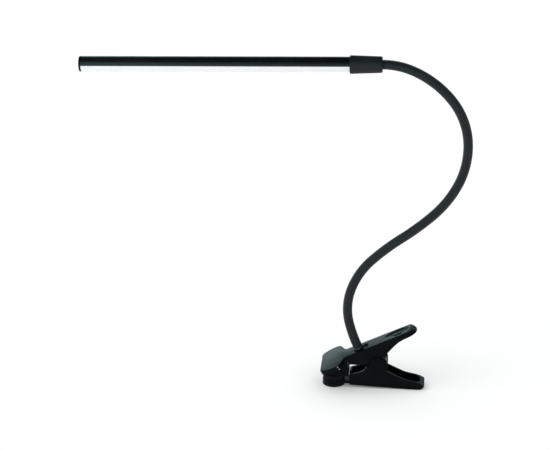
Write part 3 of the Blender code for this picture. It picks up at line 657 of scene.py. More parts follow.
# Shiny pale grey of the beak's pips: a painted highlight that stands in for the glints on the beak's rounded
# rear corners.
def pip_painted_highlight():
    return finish(
        "polished pip", (0.30, 0.31, 0.31), worn=1.1, rough=(0.10, 0.16),
        grain=3000.0, patches=200.0, depth=0.000003, Metallic=0.6,
    )


def soft_black():
    return finish(
        "matte charcoal", lamp_colour("sleeve"), worn=1.3, rough=(0.52, 0.62),
        grain=3000.0, patches=80.0, depth=0.00002, Specular_IOR_Level=0.3,
    )


def rubber():
    return finish(
        "pad rubber", lamp_colour("rubber"), worn=1.7, rough=(0.72, 0.88),
        grain=1500.0, patches=90.0, depth=0.00004, Sheen_Weight=0.04, Specular_IOR_Level=0.12,
    )


def sheath():
    return finish(
        "ribbed sheath", lamp_colour("sheath"), worn=1.4, rough=(0.42, 0.55),
        grain=3500.0, patches=120.0, depth=0.00002, Specular_IOR_Level=0.24,
    )


def zinc():
    return finish(
        "zinc plated steel", (0.56, 0.56, 0.55), worn=1.12, rough=(0.26, 0.40),
        grain=900.0, patches=260.0, depth=0.00001, lines=((900.0, 900.0, 60.0), (0, 0, 0)), Metallic=1.0,
    )


def dark_steel():
    return finish(
        "black spring steel", (0.055, 0.056, 0.060), worn=1.5, rough=(0.30, 0.44),
        grain=900.0, patches=200.0, depth=0.00001, lines=((1200.0, 120.0, 1200.0), (0, 0, 0)), Metallic=0.9,
    )


def anodised():
    """Drawn lines run along the light bar."""
    tilt = (0, math.pi - neck_point(NECK_LENGTH)[1], 0)
    return finish(
        "black anodised aluminium", lamp_colour("housing"), worn=1.35, rough=(0.30, 0.40),
        grain=3000.0, patches=40.0, depth=0.000006, lines=((14.0, 2600.0, 2600.0), tilt), Metallic=0.35,
    )


def opal():
    return finish(
        "opal diffuser", lamp_colour("diffuser"), worn=1.02, rough=(0.36, 0.46),
        grain=1200.0, patches=30.0, depth=0.000008,
        Emission_Color=(0.95, 0.98, 1.0, 1.0), Emission_Strength=0.16,
        Subsurface_Weight=0.25, Subsurface_Scale=0.002,
    )


def solder_mask():
    return finish(
        "white solder mask", (0.80, 0.80, 0.76), worn=1.08, rough=(0.30, 0.42),
        grain=1800.0, patches=70.0, depth=0.00001,
    )


def phosphor():
    return finish(
        "chip phosphor", (0.80, 0.62, 0.16), worn=1.15, rough=(0.40, 0.55),
        grain=4000.0, patches=300.0, depth=0.00001,
    )


def lead_skin():
    return finish(
        "lead insulation", (0.020, 0.020, 0.021), worn=1.5, rough=(0.48, 0.60),
        grain=2600.0, patches=110.0, depth=0.00001,
    )


# ---------------------------------------------------------------- clip


def share(x, a, b):
    """Height at x on the line from point a to point b."""
    return a[1] + (b[1] - a[1]) * (x - a[0]) / (b[0] - a[0])


class LAMP_OT_upper_jaw(Operator):
    """Upper jaw: wide beak with pips, channel arm with a finger scoop, pivot lugs and the pad's boss"""

    bl_idname = "lamp.upper_jaw"
    bl_label = "Upper jaw"

    def execute(self, context):
        sizes = context.scene.lamp_clip
        body = self.shell(sizes)
        place(body, ARM_FRAME)
        join(body, [self.boss()] + self.lugs() + [self.finger_bar(sizes)])
        hand_over(body, "upper_jaw", moulded(), ("upper_jaw",), tidy=False)
        pips = self.pips()
        join(pips[0], pips[1:])
        pips[0].name = "beak_pips"
        # The pips' shiny pale grey is a painted highlight on the beak's rear corners.
        hand_over(pips[0], "upper_jaw", pip_painted_highlight(), angle=80)
        return {"FINISHED"}

    def shell(self, sizes):
        """Beak and arm drawn out as two bars, made one, rounded, and hollowed from below."""
        arm = draw_out("upper_jaw_moulding", (
            (ARM_BACK, HALF_WIDTH, 0.0123, ARM_TOP),
            (-0.0217, HALF_WIDTH, 0.0090, ARM_TOP),
            (-0.0060, HALF_WIDTH, 0.0020, ARM_TOP),
            (0.0080, HALF_WIDTH, 0.0020, ARM_TOP),
            (0.0144, HALF_WIDTH, 0.0081, ARM_TOP),
            (0.0200, HALF_WIDTH, 0.0107, ARM_TOP),
            (0.0260, HALF_WIDTH, 0.0133, ARM_TOP),
            (0.0306, HALF_WIDTH, 0.0149, ARM_TOP),
            (0.0360, HALF_WIDTH, 0.0158, ARM_TOP),
            (0.0430, HALF_WIDTH, 0.0162, ARM_TOP),
            (GRIP_END, HALF_WIDTH, 0.0168, ARM_TOP),
        ))
        flatten(arm)
        bevel_edges(arm, lambda e: upright(e, GRIP_END), 0.0093, 12)
        edit(arm)
        trim((0.0472, 0, ARM_TOP), (0.0032, 0, 0.0050))
        leave()
        beak = self.beak("beak", 0.0, SKIRT_LOW, ARM_TOP)
        combine(arm, beak, "UNION")
        flatten(arm)
        bevel_edges(arm, lambda e: self.top_rim(e), sizes.edge, 4)
        bevel_edges(arm, lambda e: self.skirt_rim(e), 0.0004, 2)
        channel = add_block(
            "arm_channel", (ARM_BACK + WALL, -0.0088, -0.02), (GRIP_END - 2 * WALL, 0.0088, ARM_UNDER)
        )
        bevel_edges(channel, lambda e: abs(run_of(e).z) > 0.01 and centre_of(e).x > 0, 0.0070, 8)
        bevel_edges(channel, lambda e: at_height(e, ARM_UNDER), 0.0008, 2)
        combine(arm, channel, "DIFFERENCE")
        sweep = add_bar("ear_sweep", EAR_SWEEP, -0.02, 0.02, 64)
        place(sweep, SIDE_VIEW)
        combine(arm, sweep, "DIFFERENCE")
        combine(arm, self.beak("beak_hollow", 0.0018, SKIRT_LOW - 0.002, ARM_UNDER), "DIFFERENCE")
        combine(arm, self.scoop_cutter(), "DIFFERENCE")
        holes = (("neck_hole", NECK_SEAT, 0.0043), ("gland_hole", NECK_SEAT + GLAND_OFFSET, 0.0019))
        for name, u, radius in holes:
            hole = add_bar(name, radius, ARM_UNDER - 0.003, ARM_TOP + 0.003, 24)
            place(hole, Matrix.Translation((u, 0, 0)))
            combine(arm, hole, "DIFFERENCE")
        return arm

    def beak(self, name, inset, low, top):
        """The beak's outline as a solid, drawn in by an inset for the hollow under it."""
        tail = -0.0250 if not inset else ARM_BACK - 0.0004
        beak = draw_out(name, (
            (-0.0578 + inset, 0.0222 - inset * 0.7, low, top),
            (-0.0470 + inset * 0.3, 0.0280 - inset, low, top),
            (-0.0365 - inset * 0.3, 0.0280 - inset, low, top),
            (-0.0297 - inset * 0.4, 0.0120 - inset, low, top),
            (tail, 0.0100 - inset, low, top),
        ))
        flatten(beak)
        nose, cheek, rear = -0.0578 + inset, -0.0470 + inset * 0.3, -0.0365 - inset * 0.3
        for x, width in ((nose, 0.0036), (cheek, 0.0040), (rear, 0.0034)):
            bevel_edges(beak, lambda e: upright(e, x), width, 8)
        if not inset:
            bevel_edges(beak, lambda e: upright(e, -0.0297), 0.0022, 6)
        return beak

    def top_rim(self, edge):
        """Edges between a face that looks up and a wall."""
        return between_faces(edge, 0.4, 0.7) and centre_of(edge).z > ARM_TOP - 0.0045

    def skirt_rim(self, edge):
        """The beak's outer edge below, away from the arm."""
        middle = centre_of(edge)
        outer = abs(middle.y) > 0.0125 or middle.x < -0.0320
        return outer and under_rim(edge, -0.9) and near(middle.z, SKIRT_LOW)

    def scoop_cutter(self):
        start, stop, half, depth = SCOOP
        middle = ((start + stop) / 2, 0, ARM_TOP + 0.0001)
        size = ((stop - start) / 2, half, depth + 0.0001)
        return add("uv_sphere", "scoop", segments=72, ring_count=36, radius=1.0, location=middle, scale=size)

    def finger_bar(self, sizes):
        """Raised bar in the scoop's floor, which the thumb finds."""
        floor = ARM_TOP - SCOOP[3] + 0.0003
        middle = 0.0313
        half = sizes.bar_length / 2
        top = floor + 0.0004
        bar = add_block("finger_bar", (middle - half, -0.0021, floor - 0.0005), (middle + half, 0.0021, top))
        bevel_edges(bar, lambda e: abs(run_of(e).z) > 0.0005, 0.0018, 6)
        bevel_edges(bar, lambda e: at_height(e, top), 0.0003, 2)
        place(bar, ARM_FRAME)
        return bar

    def pips(self):
        """Two small pips on each of the beak's rear corners, modelled once and copied; their shiny pale grey
        is a painted highlight.
        """
        profile = ((0.0008, -0.0002), (0.0008, 0.0001), (0.0007, 0.0004), (0.0004, 0.0006), (0.0001, 0.00065))
        first = turn_up("pip", profile, 20)
        made = []
        for side in (-1, 1):
            out = Vector((0.55, side * 0.83, 0)).to_track_quat("Z", "Y").to_matrix().to_4x4()
            for u, y, w in ((-0.0371, 0.0271, 0.0203), (-0.0365, 0.0267, 0.0177)):
                pip = copied(first, "beak_pip")
                place(pip, ARM_FRAME @ Matrix.Translation((u, side * y, w)) @ out)
                made.append(pip)
        bpy.data.objects.remove(first, do_unlink=True)
        return made

    def lugs(self):
        """Plates inside the arm that the pin passes through: round below, straight up to the arm."""
        lug = add_bar("lug_near", LUG_RADIUS, -LUG_OUT, -LUG_OUT + LUG_THICKNESS, 40)
        place(lug, Matrix.Rotation(math.radians(-90), 4, "X"))
        edit(lug)
        trim((0, 0, 0.001), (0, 0, 1))
        select("FACE", lambda f: f.normal.z > 0.9 and f.calc_area() > 1e-5)
        bpy.ops.mesh.extrude_region_move(TRANSFORM_OT_translate={"value": (0, 0, ARM_UNDER + 0.0008)})
        leave()
        hole = add_bar("pin_hole", PIN_RADIUS + GAP, -0.02, 0.02, 32)
        place(hole, SIDE_VIEW)
        combine(lug, hole, "DIFFERENCE")
        place(lug, ARM_FRAME)
        tidy_mesh(lug)
        return [lug, mirrored(lug, "lug_far")]

    def boss(self):
        """Boss that carries the upper pad, with the web to the arm, cut off at the beak's plate."""
        low = UPPER_PAD_TOP + GAP
        boss = add_bar("pad_boss", 0.0105, low, 0.05, 64)
        web_end, step_end, half = 0.0148, 0.0166, 0.0095
        web = add_block("throat_web", (0.0, -half, low), (web_end, half, 0.05))
        step = add_block("web_step", (0.0100, -half, low), (step_end, half, 0.0222))
        bevel_edges(boss, lambda e: at_height(e, low), 0.0003, 2)
        bevel_edges(web, lambda e: at_station(e, web_end), 0.0004, 2)
        bevel_edges(step, lambda e: at_station(e, step_end), 0.0003, 2)
        combine(boss, web, "UNION")
        combine(boss, step, "UNION")
        edit(boss)
        plane = ARM_FRAME @ Vector((0, 0, ARM_UNDER + 0.0006))
        normal = ARM_FRAME.to_3x3() @ Vector((0, 0, 1))
        trim(plane, normal)
        leave()
        stud = add_bar("stud_hole", 0.0023, UPPER_PAD_TOP, 0.0164, 20)
        combine(boss, stud, "DIFFERENCE")
        tidy_mesh(boss)
        return boss


class LAMP_OT_lower_jaw(Operator):
    """Lower jaw: pad plate, channel body, pivot ears with cap seats and the trough-shaped grip"""

    bl_idname = "lamp.lower_jaw"
    bl_label = "Lower jaw"

    def execute(self, context):
        sizes = context.scene.lamp_clip
        body = self.shell(sizes)
        join(body, [self.plate()] + self.ribs(sizes))
        hand_over(body, "lower_jaw", moulded(), ("lower_jaw",), tidy=False)
        return {"FINISHED"}

    def low(self, x):
        if x < 0.084:
            return share(x, (LOWER_FRONT, 0.0031), (0.084, 0.0))
        return 0.0 if x <= 0.0935 else share(x, (0.0935, 0.0), (LOWER_END, 0.0030))

    def shell(self, sizes):
        left, right = PIVOT.x - EAR_RADIUS, PIVOT.x + EAR_RADIUS
        front = (
            (LOWER_FRONT, 0.0150), (0.0230, 0.0166), (0.0290, 0.0184), (0.0315, 0.0198), (0.0335, 0.0222),
            (0.0350, 0.0250), (left - 0.0001, 0.0250),
        )
        ear = []
        for k in range(1, EAR_STEPS):
            angle = math.pi - math.pi * k / EAR_STEPS
            ear.append((PIVOT.x + EAR_RADIUS * math.cos(angle), PIVOT.z + EAR_RADIUS * math.sin(angle)))
        grip = (
            (right, 0.0200), (0.0640, 0.0169), (0.0700, 0.0141), (0.0740, 0.0123), (KNEE, 0.0112),
            (0.0800, 0.0105), (0.0840, 0.0097), (0.0880, 0.0088), (0.0925, 0.0074), (0.0955, 0.0058),
            (LOWER_END, 0.0050),
        )
        stations = [(x, HALF_WIDTH, self.low(x), top) for x, top in (*front, *ear, *grip)]
        body = draw_out("lower_jaw_moulding", stations)
        flatten(body)
        bevel_edges(body, lambda e: upright(e, LOWER_END), 0.0093, 12)
        bevel_edges(body, lambda e: upright(e, LOWER_FRONT), 0.0015, 4)
        bevel_edges(body, lambda e: under_rim(e, -0.6), 0.0008, 3)
        channel = draw_out("lower_channel", (
            (LOWER_FRONT + WALL, 0.0088, 0.0055, 0.05),
            (0.0840, 0.0088, 0.0024, 0.05),
            (LOWER_END - 0.0045, 0.0088, 0.0024, 0.05),
        ))
        flatten(channel)
        bevel_edges(channel, lambda e: upright(e, LOWER_END - 0.0045), 0.0068, 10)
        bevel_edges(channel, lambda e: under_rim(e, -0.9), 0.0010, 3)
        combine(body, channel, "DIFFERENCE")
        for name, low, high, radius in (
            ("pin_hole", -0.02, 0.02, PIN_RADIUS + GAP),
            ("seat_near", HALF_WIDTH - 0.0008, 0.02, CAP_RADIUS + 0.0004),
            ("seat_far", -0.02, -HALF_WIDTH + 0.0008, CAP_RADIUS + 0.0004),
        ):
            cutter = add_bar(name, radius, low, high, 64)
            place(cutter, PIN_FRAME)
            combine(body, cutter, "DIFFERENCE")
        return body

    def plate(self):
        """Round pad plate with its bridge to the channel's front wall."""
        plate = add_bar("pad_plate", FOOT_RADIUS, PLATE_LOW, PLATE_TOP, 64)
        edit(plate)
        select(
            "FACE",
            lambda f: f.normal.x > 0.1 and abs(f.normal.z) < 0.5 and abs(f.calc_center_median().y) < 0.0080,
        )
        bpy.ops.mesh.extrude_region_move(TRANSFORM_OT_translate={"value": (0.008, 0, 0)})
        bpy.ops.transform.resize(value=(0, 1, 1), center_override=(LOWER_FRONT + WALL / 2, 0, 0))
        leave()
        bevel_edges(plate, lambda e: self.plate_rim(e), 0.0004, 3)
        stud = add_bar("stud_hole", 0.0023, 0.0, 0.02, 20)
        combine(plate, stud, "DIFFERENCE")
        tidy_mesh(plate)
        return plate

    def plate_rim(self, edge):
        flat = sorted(abs(face.normal.z) for face in edge.link_faces)
        return len(flat) == 2 and flat[1] > 0.9 and flat[0] < 0.3 and centre_of(edge).x < 0.014

    def ribs(self, sizes):
        """Ribs across the grip's floor at its end, modelled once and copied along."""
        top = 0.0030
        rib = add_block("grip_rib", (0.0780, -0.0078, 0.0021), (0.0788, 0.0078, top))
        bevel_edges(rib, lambda e: at_height(e, top) and abs(run_of(e).y) > 0.01, 0.0003, 2)
        made = [rib]
        for k in range(1, sizes.grip_ribs):
            twin = copied(rib, f"grip_rib_{k}")
            place(twin, Matrix.Translation((0.0022 * k, 0, 0)))
            made.append(twin)
        return made


class LAMP_OT_pads(Operator):
    """Foot pad and the two jaw pads: round rubber pads with a stud behind and rings in the face"""

    bl_idname = "lamp.pads"
    bl_label = "Pads"

    def execute(self, context):
        self.pad("foot_rubber", "foot_pad", "lower_jaw", 0.012, 0.0, 0.0030, 0.0045, -1)
        self.pad("lower_jaw_rubber", "lower_pad", "lower_jaw", 0.0117, 0.0066, 0.0084, 0.0051, 1)
        self.pad("upper_jaw_rubber", "upper_pad", "upper_jaw", 0.0117, 0.0087, 0.0121, 0.0161, -1)
        return {"FINISHED"}

    def pad(self, name, node, body, radius, low, high, stud_end, face):
        """A pad between two heights, with its ringed face below (-1) or above (1)."""
        rim = 0.0005
        front, back = (low, high) if face < 0 else (high, low)
        step = -face * 0.00025
        rings = []
        for ring in (0.3, 0.52, 0.74):
            rings += [
                (radius * ring, front),
                (radius * (ring + 0.02), front + step),
                (radius * (ring + 0.06), front + step),
                (radius * (ring + 0.08), front),
            ]
        side = -face * rim
        profile = rings + [
            (radius - rim, front),
            (radius - rim * 0.3, front + side * 0.3),
            (radius, front + side),
            (radius, back - side),
            (radius - rim * 0.3, back - side * 0.3),
            (radius - rim, back),
            (0.0020, back),
            (0.0020, stud_end + face * 0.0003),
            (0.0017, stud_end),
        ]
        pad = turn_up(name, profile, 64)
        hand_over(pad, body, rubber(), (node,))


class LAMP_OT_pivot(Operator):
    """Pivot pin and the two domed caps pushed over its ends, each with a plain ring"""

    bl_idname = "lamp.pivot"
    bl_label = "Pivot"

    def execute(self, context):
        half = HALF_WIDTH + GAP
        groove = PIN_RADIUS - 0.0002
        profile = (
            (PIN_RADIUS - 0.0005, -half), (PIN_RADIUS, -half + 0.0005), (PIN_RADIUS, -0.0050),
            (groove, -0.0048), (groove, 0.0048), (PIN_RADIUS, 0.0050),
            (PIN_RADIUS, half - 0.0005), (PIN_RADIUS - 0.0005, half),
        )
        pin = turn_up("pivot_pin_turned", profile, 32)
        place(pin, PIN_FRAME)
        hand_over(pin, "lower_jaw", zinc(), ("pivot_pin",))
        near_cap = self.cap()
        place(near_cap, PIN_FRAME)
        far_cap = mirrored(near_cap, "far_cap_dome")
        hand_over(near_cap, "lower_jaw", moulded(), ("pivot_cap_near",), 25)
        hand_over(far_cap, "lower_jaw", moulded(), ("pivot_cap_far",), 25)
        return {"FINISHED"}

    def cap(self):
        inner = HALF_WIDTH - 0.0005
        outer = HALF_WIDTH + 0.0015
        bore = PIN_RADIUS + GAP
        profile = [(bore, HALF_WIDTH + 0.0006), (bore, inner), (CAP_RADIUS, inner)]
        profile += [(CAP_RADIUS * part, outer - drop) for part, drop in (
            (1.0, 0.0009), (0.985, 0.0006), (0.95, 0.00035), (0.88, 0.0002), (0.72, 0.0001),
            (0.70, 0.0004), (0.64, 0.0004), (0.62, 0.00006), (0.40, 0.00002), (0.15, 0.0),
        )]
        return turn_up("near_cap_dome", profile, 64)


class LAMP_OT_spring(Operator):
    """Torsion spring: a close coil round the pin, with one leg under each grip"""

    bl_idname = "lamp.spring"
    bl_label = "Torsion spring"

    def execute(self, context):
        radius, wire, half = 0.008, 0.0009, 0.0047
        turns = 4
        upper_angle, lower_heading = math.radians(20.0), math.radians(-28.0)
        upper_heading = ARM_SLOPE + upper_angle
        upper_leg = (ARM_UNDER - 0.0005 - wire - radius * math.cos(upper_angle)) / math.sin(upper_angle)
        lower_drop = PIVOT.z - radius * math.cos(lower_heading) - (0.0024 + wire + 0.0012)
        lower_leg = lower_drop / -math.sin(lower_heading)
        start = upper_heading + math.pi / 2
        end = lower_heading - math.pi / 2 + 2 * math.pi * (turns + 1)
        steps = 40 * (turns + 1)
        coil = []
        for k in range(steps + 1):
            angle = start + (end - start) * k / steps
            along = -half + 2 * half * k / steps
            spot = Vector((math.cos(angle), 0, math.sin(angle))) * radius
            coil.append(PIVOT + spot + Vector((0, along, 0)))
        first = coil[0] + Vector((math.cos(upper_heading), 0, math.sin(upper_heading))) * upper_leg
        last = coil[-1] + Vector((math.cos(lower_heading), 0, math.sin(lower_heading))) * lower_leg
        spring = draw_wire("torsion_spring_coil", [first] + coil + [last], wire, 3)
        hand_over(spring, None, dark_steel(), ("torsion_spring",), 40, tidy=False)
        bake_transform(spring)
        return {"FINISHED"}


# ---------------------------------------------------------------- neck


class LAMP_OT_neck_seat(Operator):
    """Collar with its threaded stem, the washer and the chamfered nut under the arm"""

    bl_idname = "lamp.neck_seat"
    bl_label = "Neck seat"

    def execute(self, context):
        wide = NECK_RADIUS + 0.0010
        profile = [
            (0.0012, 0.0023), (wide - 0.0006, 0.0023), (wide - 0.0002, 0.0020), (wide, 0.0016),
            (wide, 0.0006), (wide - 0.0002, GAP), (0.0036, GAP),
        ]
        height = GAP
        for _ in range(11):
            profile += [(0.0040, height - 0.0003), (0.0040, height - 0.0005), (0.0036, height - 0.0008)]
            height -= 0.0008
        profile += [(0.0034, -0.0091), (0.0012, -0.0091)]
        collar = turn_up("neck_collar_turned", profile, 48, "ring")
        place(collar, SEAT_FRAME)
        hand_over(collar, "upper_jaw", dark_steel(), ("neck_collar",))
        top = -0.0027
        profile = (
            (0.0043, top), (0.0062, top), (0.0063, top - 0.0001),
            (0.0063, top - 0.0005), (0.0062, top - 0.0006), (0.0043, top - 0.0006),
        )
        washer = turn_up("washer_stamped", profile, 48, "ring")
        place(washer, SEAT_FRAME)
        hand_over(washer, "upper_jaw", zinc(), ("neck_washer",))
        nut = self.nut(top - 0.0009)
        place(nut, SEAT_FRAME)
        hand_over(nut, "upper_jaw", zinc(), ("neck_nut",), 25)
        return {"FINISHED"}

    def nut(self, top):
        """A hexagon crossed with a chamfered round, then bored."""
        across = 0.012 / 2 / math.cos(math.pi / 6)
        low = top - 0.003
        nut = add_bar("hex_nut", across, low, top, 6)
        wide = across + 0.0001
        profile = ((0.0058, low), (wide, low + 0.0006), (wide, top - 0.0006), (0.0058, top))
        combine(nut, turn_up("nut_chamfer", profile, 64), "INTERSECT")
        mouth, drill = 0.0048, 0.0043
        profile = ((mouth, low - 0.0001), (drill, low + 0.0005), (drill, top - 0.0005), (mouth, top + 0.0001))
        bore = turn_up("nut_bore", profile, 32)
        combine(nut, bore, "DIFFERENCE")
        return nut


class LAMP_OT_cord_gland(Operator):
    """Gland where the cord leaves the arm, and the lead from it into the neck's stem"""

    bl_idname = "lamp.cord_gland"
    bl_label = "Cord gland"

    def execute(self, context):
        profile = (
            (0.0010, 0.0015), (0.0017, 0.0015), (0.0021, 0.0014), (0.0024, 0.0011), (0.0025, 0.0007),
            (0.0025, GAP), (0.0016, GAP), (0.0016, -0.0016), (0.0014, -0.0018), (0.0014, -0.0022),
            (0.0016, -0.0024), (0.0016, -0.0047), (0.0010, -0.0047),
        )
        gland = turn_up("cord_gland_rubber", profile, 40, "ring")
        place(gland, GLAND_FRAME)
        hand_over(gland, "upper_jaw", rubber(), ("cord_gland",))
        top = ARM_TOP + GAP
        radius = GLAND_OFFSET / 2
        low = top - 0.0100
        points = [ARM_FRAME @ Vector((NECK_SEAT + GLAND_OFFSET, 0, top - 0.0053))]
        for k in range(21):
            angle = math.pi * k / 20
            u = NECK_SEAT + radius + radius * math.cos(angle)
            points.append(ARM_FRAME @ Vector((u, 0, low - radius * math.sin(angle))))
        points.append(ARM_FRAME @ Vector((NECK_SEAT, 0, top - 0.0097)))
        lead = draw_wire("clamp_lead_wire", points, 0.0009, 3)
        hand_over(lead, "upper_jaw", lead_skin(), ("clamp_lead",), tidy=False)
        return {"FINISHED"}


class LAMP_OT_neck_sheath(Operator):
    """Ribbed sheath: one rib is modelled, repeated along each stretch and bent on the neck's line"""

    bl_idname = "lamp.neck_sheath"
    bl_label = "Neck sheath"

    def execute(self, context):
        sizes = context.scene.lamp_neck
        line = self.centre_line()
        joints = [FIRST_JOINT + JOINT_PITCH * i for i in range(LINKS + 1)]
        cuts = [0.0026] + [joint + JOINT_PITCH / 2 for joint in joints[:-1]] + [NECK_LENGTH + 0.0080]
        nodes = ["neck_base_stub"] + [f"neck_link_{i + 1:02d}" for i in range(LINKS)] + ["neck_top_stub"]
        pitch = JOINT_PITCH / sizes.ribs
        for i, (start, end) in enumerate(zip(cuts, cuts[1:])):
            count = max(1, round((end - start) / pitch))
            piece = self.rib(f"neck_sheath_{i + 1:02d}", (end - start) / count, sizes.groove)
            repeat(piece, count, (end - start) / count, use_merge_vertices=True, merge_threshold=0.00002)
            place(piece, Matrix.Translation((0, 0, start)))
            edit(piece)
            bpy.ops.mesh.select_mode(type="EDGE")
            bpy.ops.mesh.select_non_manifold()
            bpy.ops.mesh.fill_holes(sides=0)
            leave()
            modify(piece, "CURVE", object=line, deform_axis="POS_Z")
            stands_for = (nodes[i],) if i < LINKS else (nodes[i], nodes[i + 1])
            hand_over(piece, None, sheath(), stands_for, 50)
            spread = min(joints[i] - start, end - joints[i], 0.0125)
            below, above = (tuple(neck_point(joints[i] + way * spread)[0]) for way in (-1, 1))
            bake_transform(piece)
        bpy.data.objects.remove(line, do_unlink=True)
        return {"FINISHED"}

    def rib(self, name, pitch, groove):
        """One rib from groove to groove, rising along Z."""
        deep = NECK_RADIUS - groove
        flank = deep + groove * 0.55
        shoulder = NECK_RADIUS - groove * 0.08
        rise = ((deep, 0.0), (flank, 0.10), (shoulder, 0.24), (NECK_RADIUS, 0.40))
        fall = ((NECK_RADIUS, 0.60), (shoulder, 0.76), (flank, 0.90), (deep, 1.0))
        return turn_up(name, [(radius, pitch * part) for radius, part in rise + fall], 32, "open")

    def centre_line(self):
        curve = bpy.data.curves.new("neck_line", "CURVE")
        curve.dimensions = "3D"
        spline = curve.splines.new("POLY")
        steps = 430
        spline.points.add(steps)
        for k, point in enumerate(spline.points):
            point.co = (*neck_point(k * 0.001)[0], 1)
        line = bpy.data.objects.new("neck_line", curve)
        bpy.context.scene.collection.objects.link(line)
        return line


# ---------------------------------------------------------------- head


class LAMP_OT_head_sleeve(Operator):
    """Tapered sleeve, the ring crimped on the neck's end inside it, and the lead to the board"""

    bl_idname = "lamp.head_sleeve"
    bl_label = "Head sleeve"

    def execute(self, context):
        rim = context.scene.lamp_head.fillet
        neck_end, tube_end = 0.00835, 0.0095
        profile = [
            (NECK_RADIUS + GAP, 0.0083),
            (NECK_RADIUS + GAP, 0.0006),
            (NECK_RADIUS + GAP + 0.0005, 0.0001),
            (neck_end - rim * 1.6, 0.0),
            (neck_end - rim * 0.7, rim * 0.15),
            (neck_end - rim * 0.15, rim * 0.6),
            (neck_end + 0.0001, rim * 1.4),
            (neck_end - 0.0003, rim * 1.6),
            (neck_end - 0.0003, rim * 2.0),
            (neck_end + 0.0001, rim * 2.2),
        ]
        for k in range(1, 6):
            part = k / 6
            profile.append((neck_end + (tube_end - neck_end) * part, SLEEVE_LENGTH * part))
        profile += [
            (tube_end, SLEEVE_LENGTH - rim * 2.1),
            (tube_end - 0.0003, SLEEVE_LENGTH - rim * 1.9),
            (tube_end - 0.0003, SLEEVE_LENGTH - rim * 1.5),
            (tube_end, SLEEVE_LENGTH - rim * 1.3),
            (tube_end - rim * 0.15, SLEEVE_LENGTH - rim * 0.5),
            (tube_end - rim * 0.6, SLEEVE_LENGTH - rim * 0.08),
            (tube_end - rim, SLEEVE_LENGTH),
            (TUBE_RADIUS + GAP, SLEEVE_LENGTH),
            (TUBE_RADIUS + GAP, 0.0197),
            (0.0069, 0.0197),
            (0.0069, 0.0083),
        ]
        sleeve = turn_up("sleeve_moulding", profile, 64, "ring")
        place(sleeve, HEAD_FRAME)
        hand_over(sleeve, "head", soft_black(), ("head_sleeve",))
        self.crimp()
        rise = 0.0022 + GAP + 0.0009
        start, end = 0.0123, 0.0280
        points = []
        for k in range(25):
            part = k / 24
            eased = min(1.0, part * 1.6)
            eased = eased * eased * (3 - 2 * eased)
            points.append(HEAD_FRAME @ Vector((rise * eased, 0, start + (end - start) * part)))
        lead = draw_wire("head_lead_wire", points, 0.0009, 3)
        hand_over(lead, "head", lead_skin(), ("head_lead",), tidy=False)
        return {"FINISHED"}

    def crimp(self):
        """A short ring with a row of press marks all round."""
        low, outer = 0.0086, 0.0066
        bore = NECK_RADIUS + GAP
        profile = (
            (bore, low), (outer - 0.0002, low), (outer, low + 0.0002), (outer, low + 0.0010),
            (outer, low + 0.0024), (outer, low + 0.0032),
            (outer - 0.0002, low + 0.0034), (bore, low + 0.0034),
        )
        ring = turn_up("crimp_ring", profile, 48, "ring")
        edit(ring)
        select("FACE", lambda f: self.pressed(f.calc_center_median(), low + 0.0017))
        bpy.ops.mesh.inset(thickness=0.0001, depth=-0.0003)
        leave()
        place(ring, HEAD_FRAME)
        hand_over(ring, "head", zinc(), ("neck_crimp",))

    def pressed(self, spot, height):
        """Three facets in every eight on the ring's outside, where the tool presses."""
        facet = int((math.degrees(math.atan2(spot.y, spot.x)) + 360) / 7.5)
        return near(spot.z, height, 0.0003) and spot.xy.length > 0.0064 and facet % 8 in (2, 3, 4)


class LAMP_OT_light_bar(Operator):
    """Light bar: the half-round housing above and the opal diffuser below, cut from two tubes"""

    bl_idname = "lamp.light_bar"
    bl_label = "Light bar"

    def execute(self, context):
        housing = self.half("housing_extrusion", 0.0, 1)
        ledges = self.ledges()
        join(housing, ledges)
        place(housing, HEAD_FRAME)
        hand_over(housing, "head", anodised(), ("lamp_housing",), tidy=False)
        diffuser = self.half("diffuser_lens", -GAP, -1)
        place(diffuser, HEAD_FRAME)
        hand_over(diffuser, "head", opal(), ("diffuser",), tidy=False)
        return {"FINISHED"}

    def half(self, name, level, side):
        """The part of a tube above (1) or below (-1) a level, with a wall and fine edges."""
        tube = add(
            "cylinder", name, vertices=96, radius=TUBE_RADIUS, depth=BAR_HIGH - BAR_LOW,
            location=(0, 0, (BAR_HIGH + BAR_LOW) / 2), end_fill_type="NOTHING",
        )
        edit(tube)
        bpy.ops.mesh.select_all(action="SELECT")
        bpy.ops.mesh.bisect(plane_co=(level, 0, 0), plane_no=(side, 0, 0), clear_inner=True, threshold=MERGE)
        leave()
        modify(tube, "SOLIDIFY", thickness=TUBE_RADIUS - TUBE_BORE, offset=-1.0, use_even_offset=True)
        modify(tube, "BEVEL", width=0.00015, segments=2, limit_method="ANGLE", angle_limit=math.radians(40))
        tidy_mesh(tube)
        return tube

    def ledges(self):
        """Two ledges inside the housing that the board rests on."""
        ledge = add_block("ledge", (0.00005, 0.0056, BAR_LOW + 0.0002), (0.0007, 0.0067, BAR_HIGH - 0.0002))
        bevel_edges(ledge, lambda e: abs(run_of(e).z) > 0.1, 0.0001, 2)
        return [ledge, mirrored(ledge, "far_ledge")]


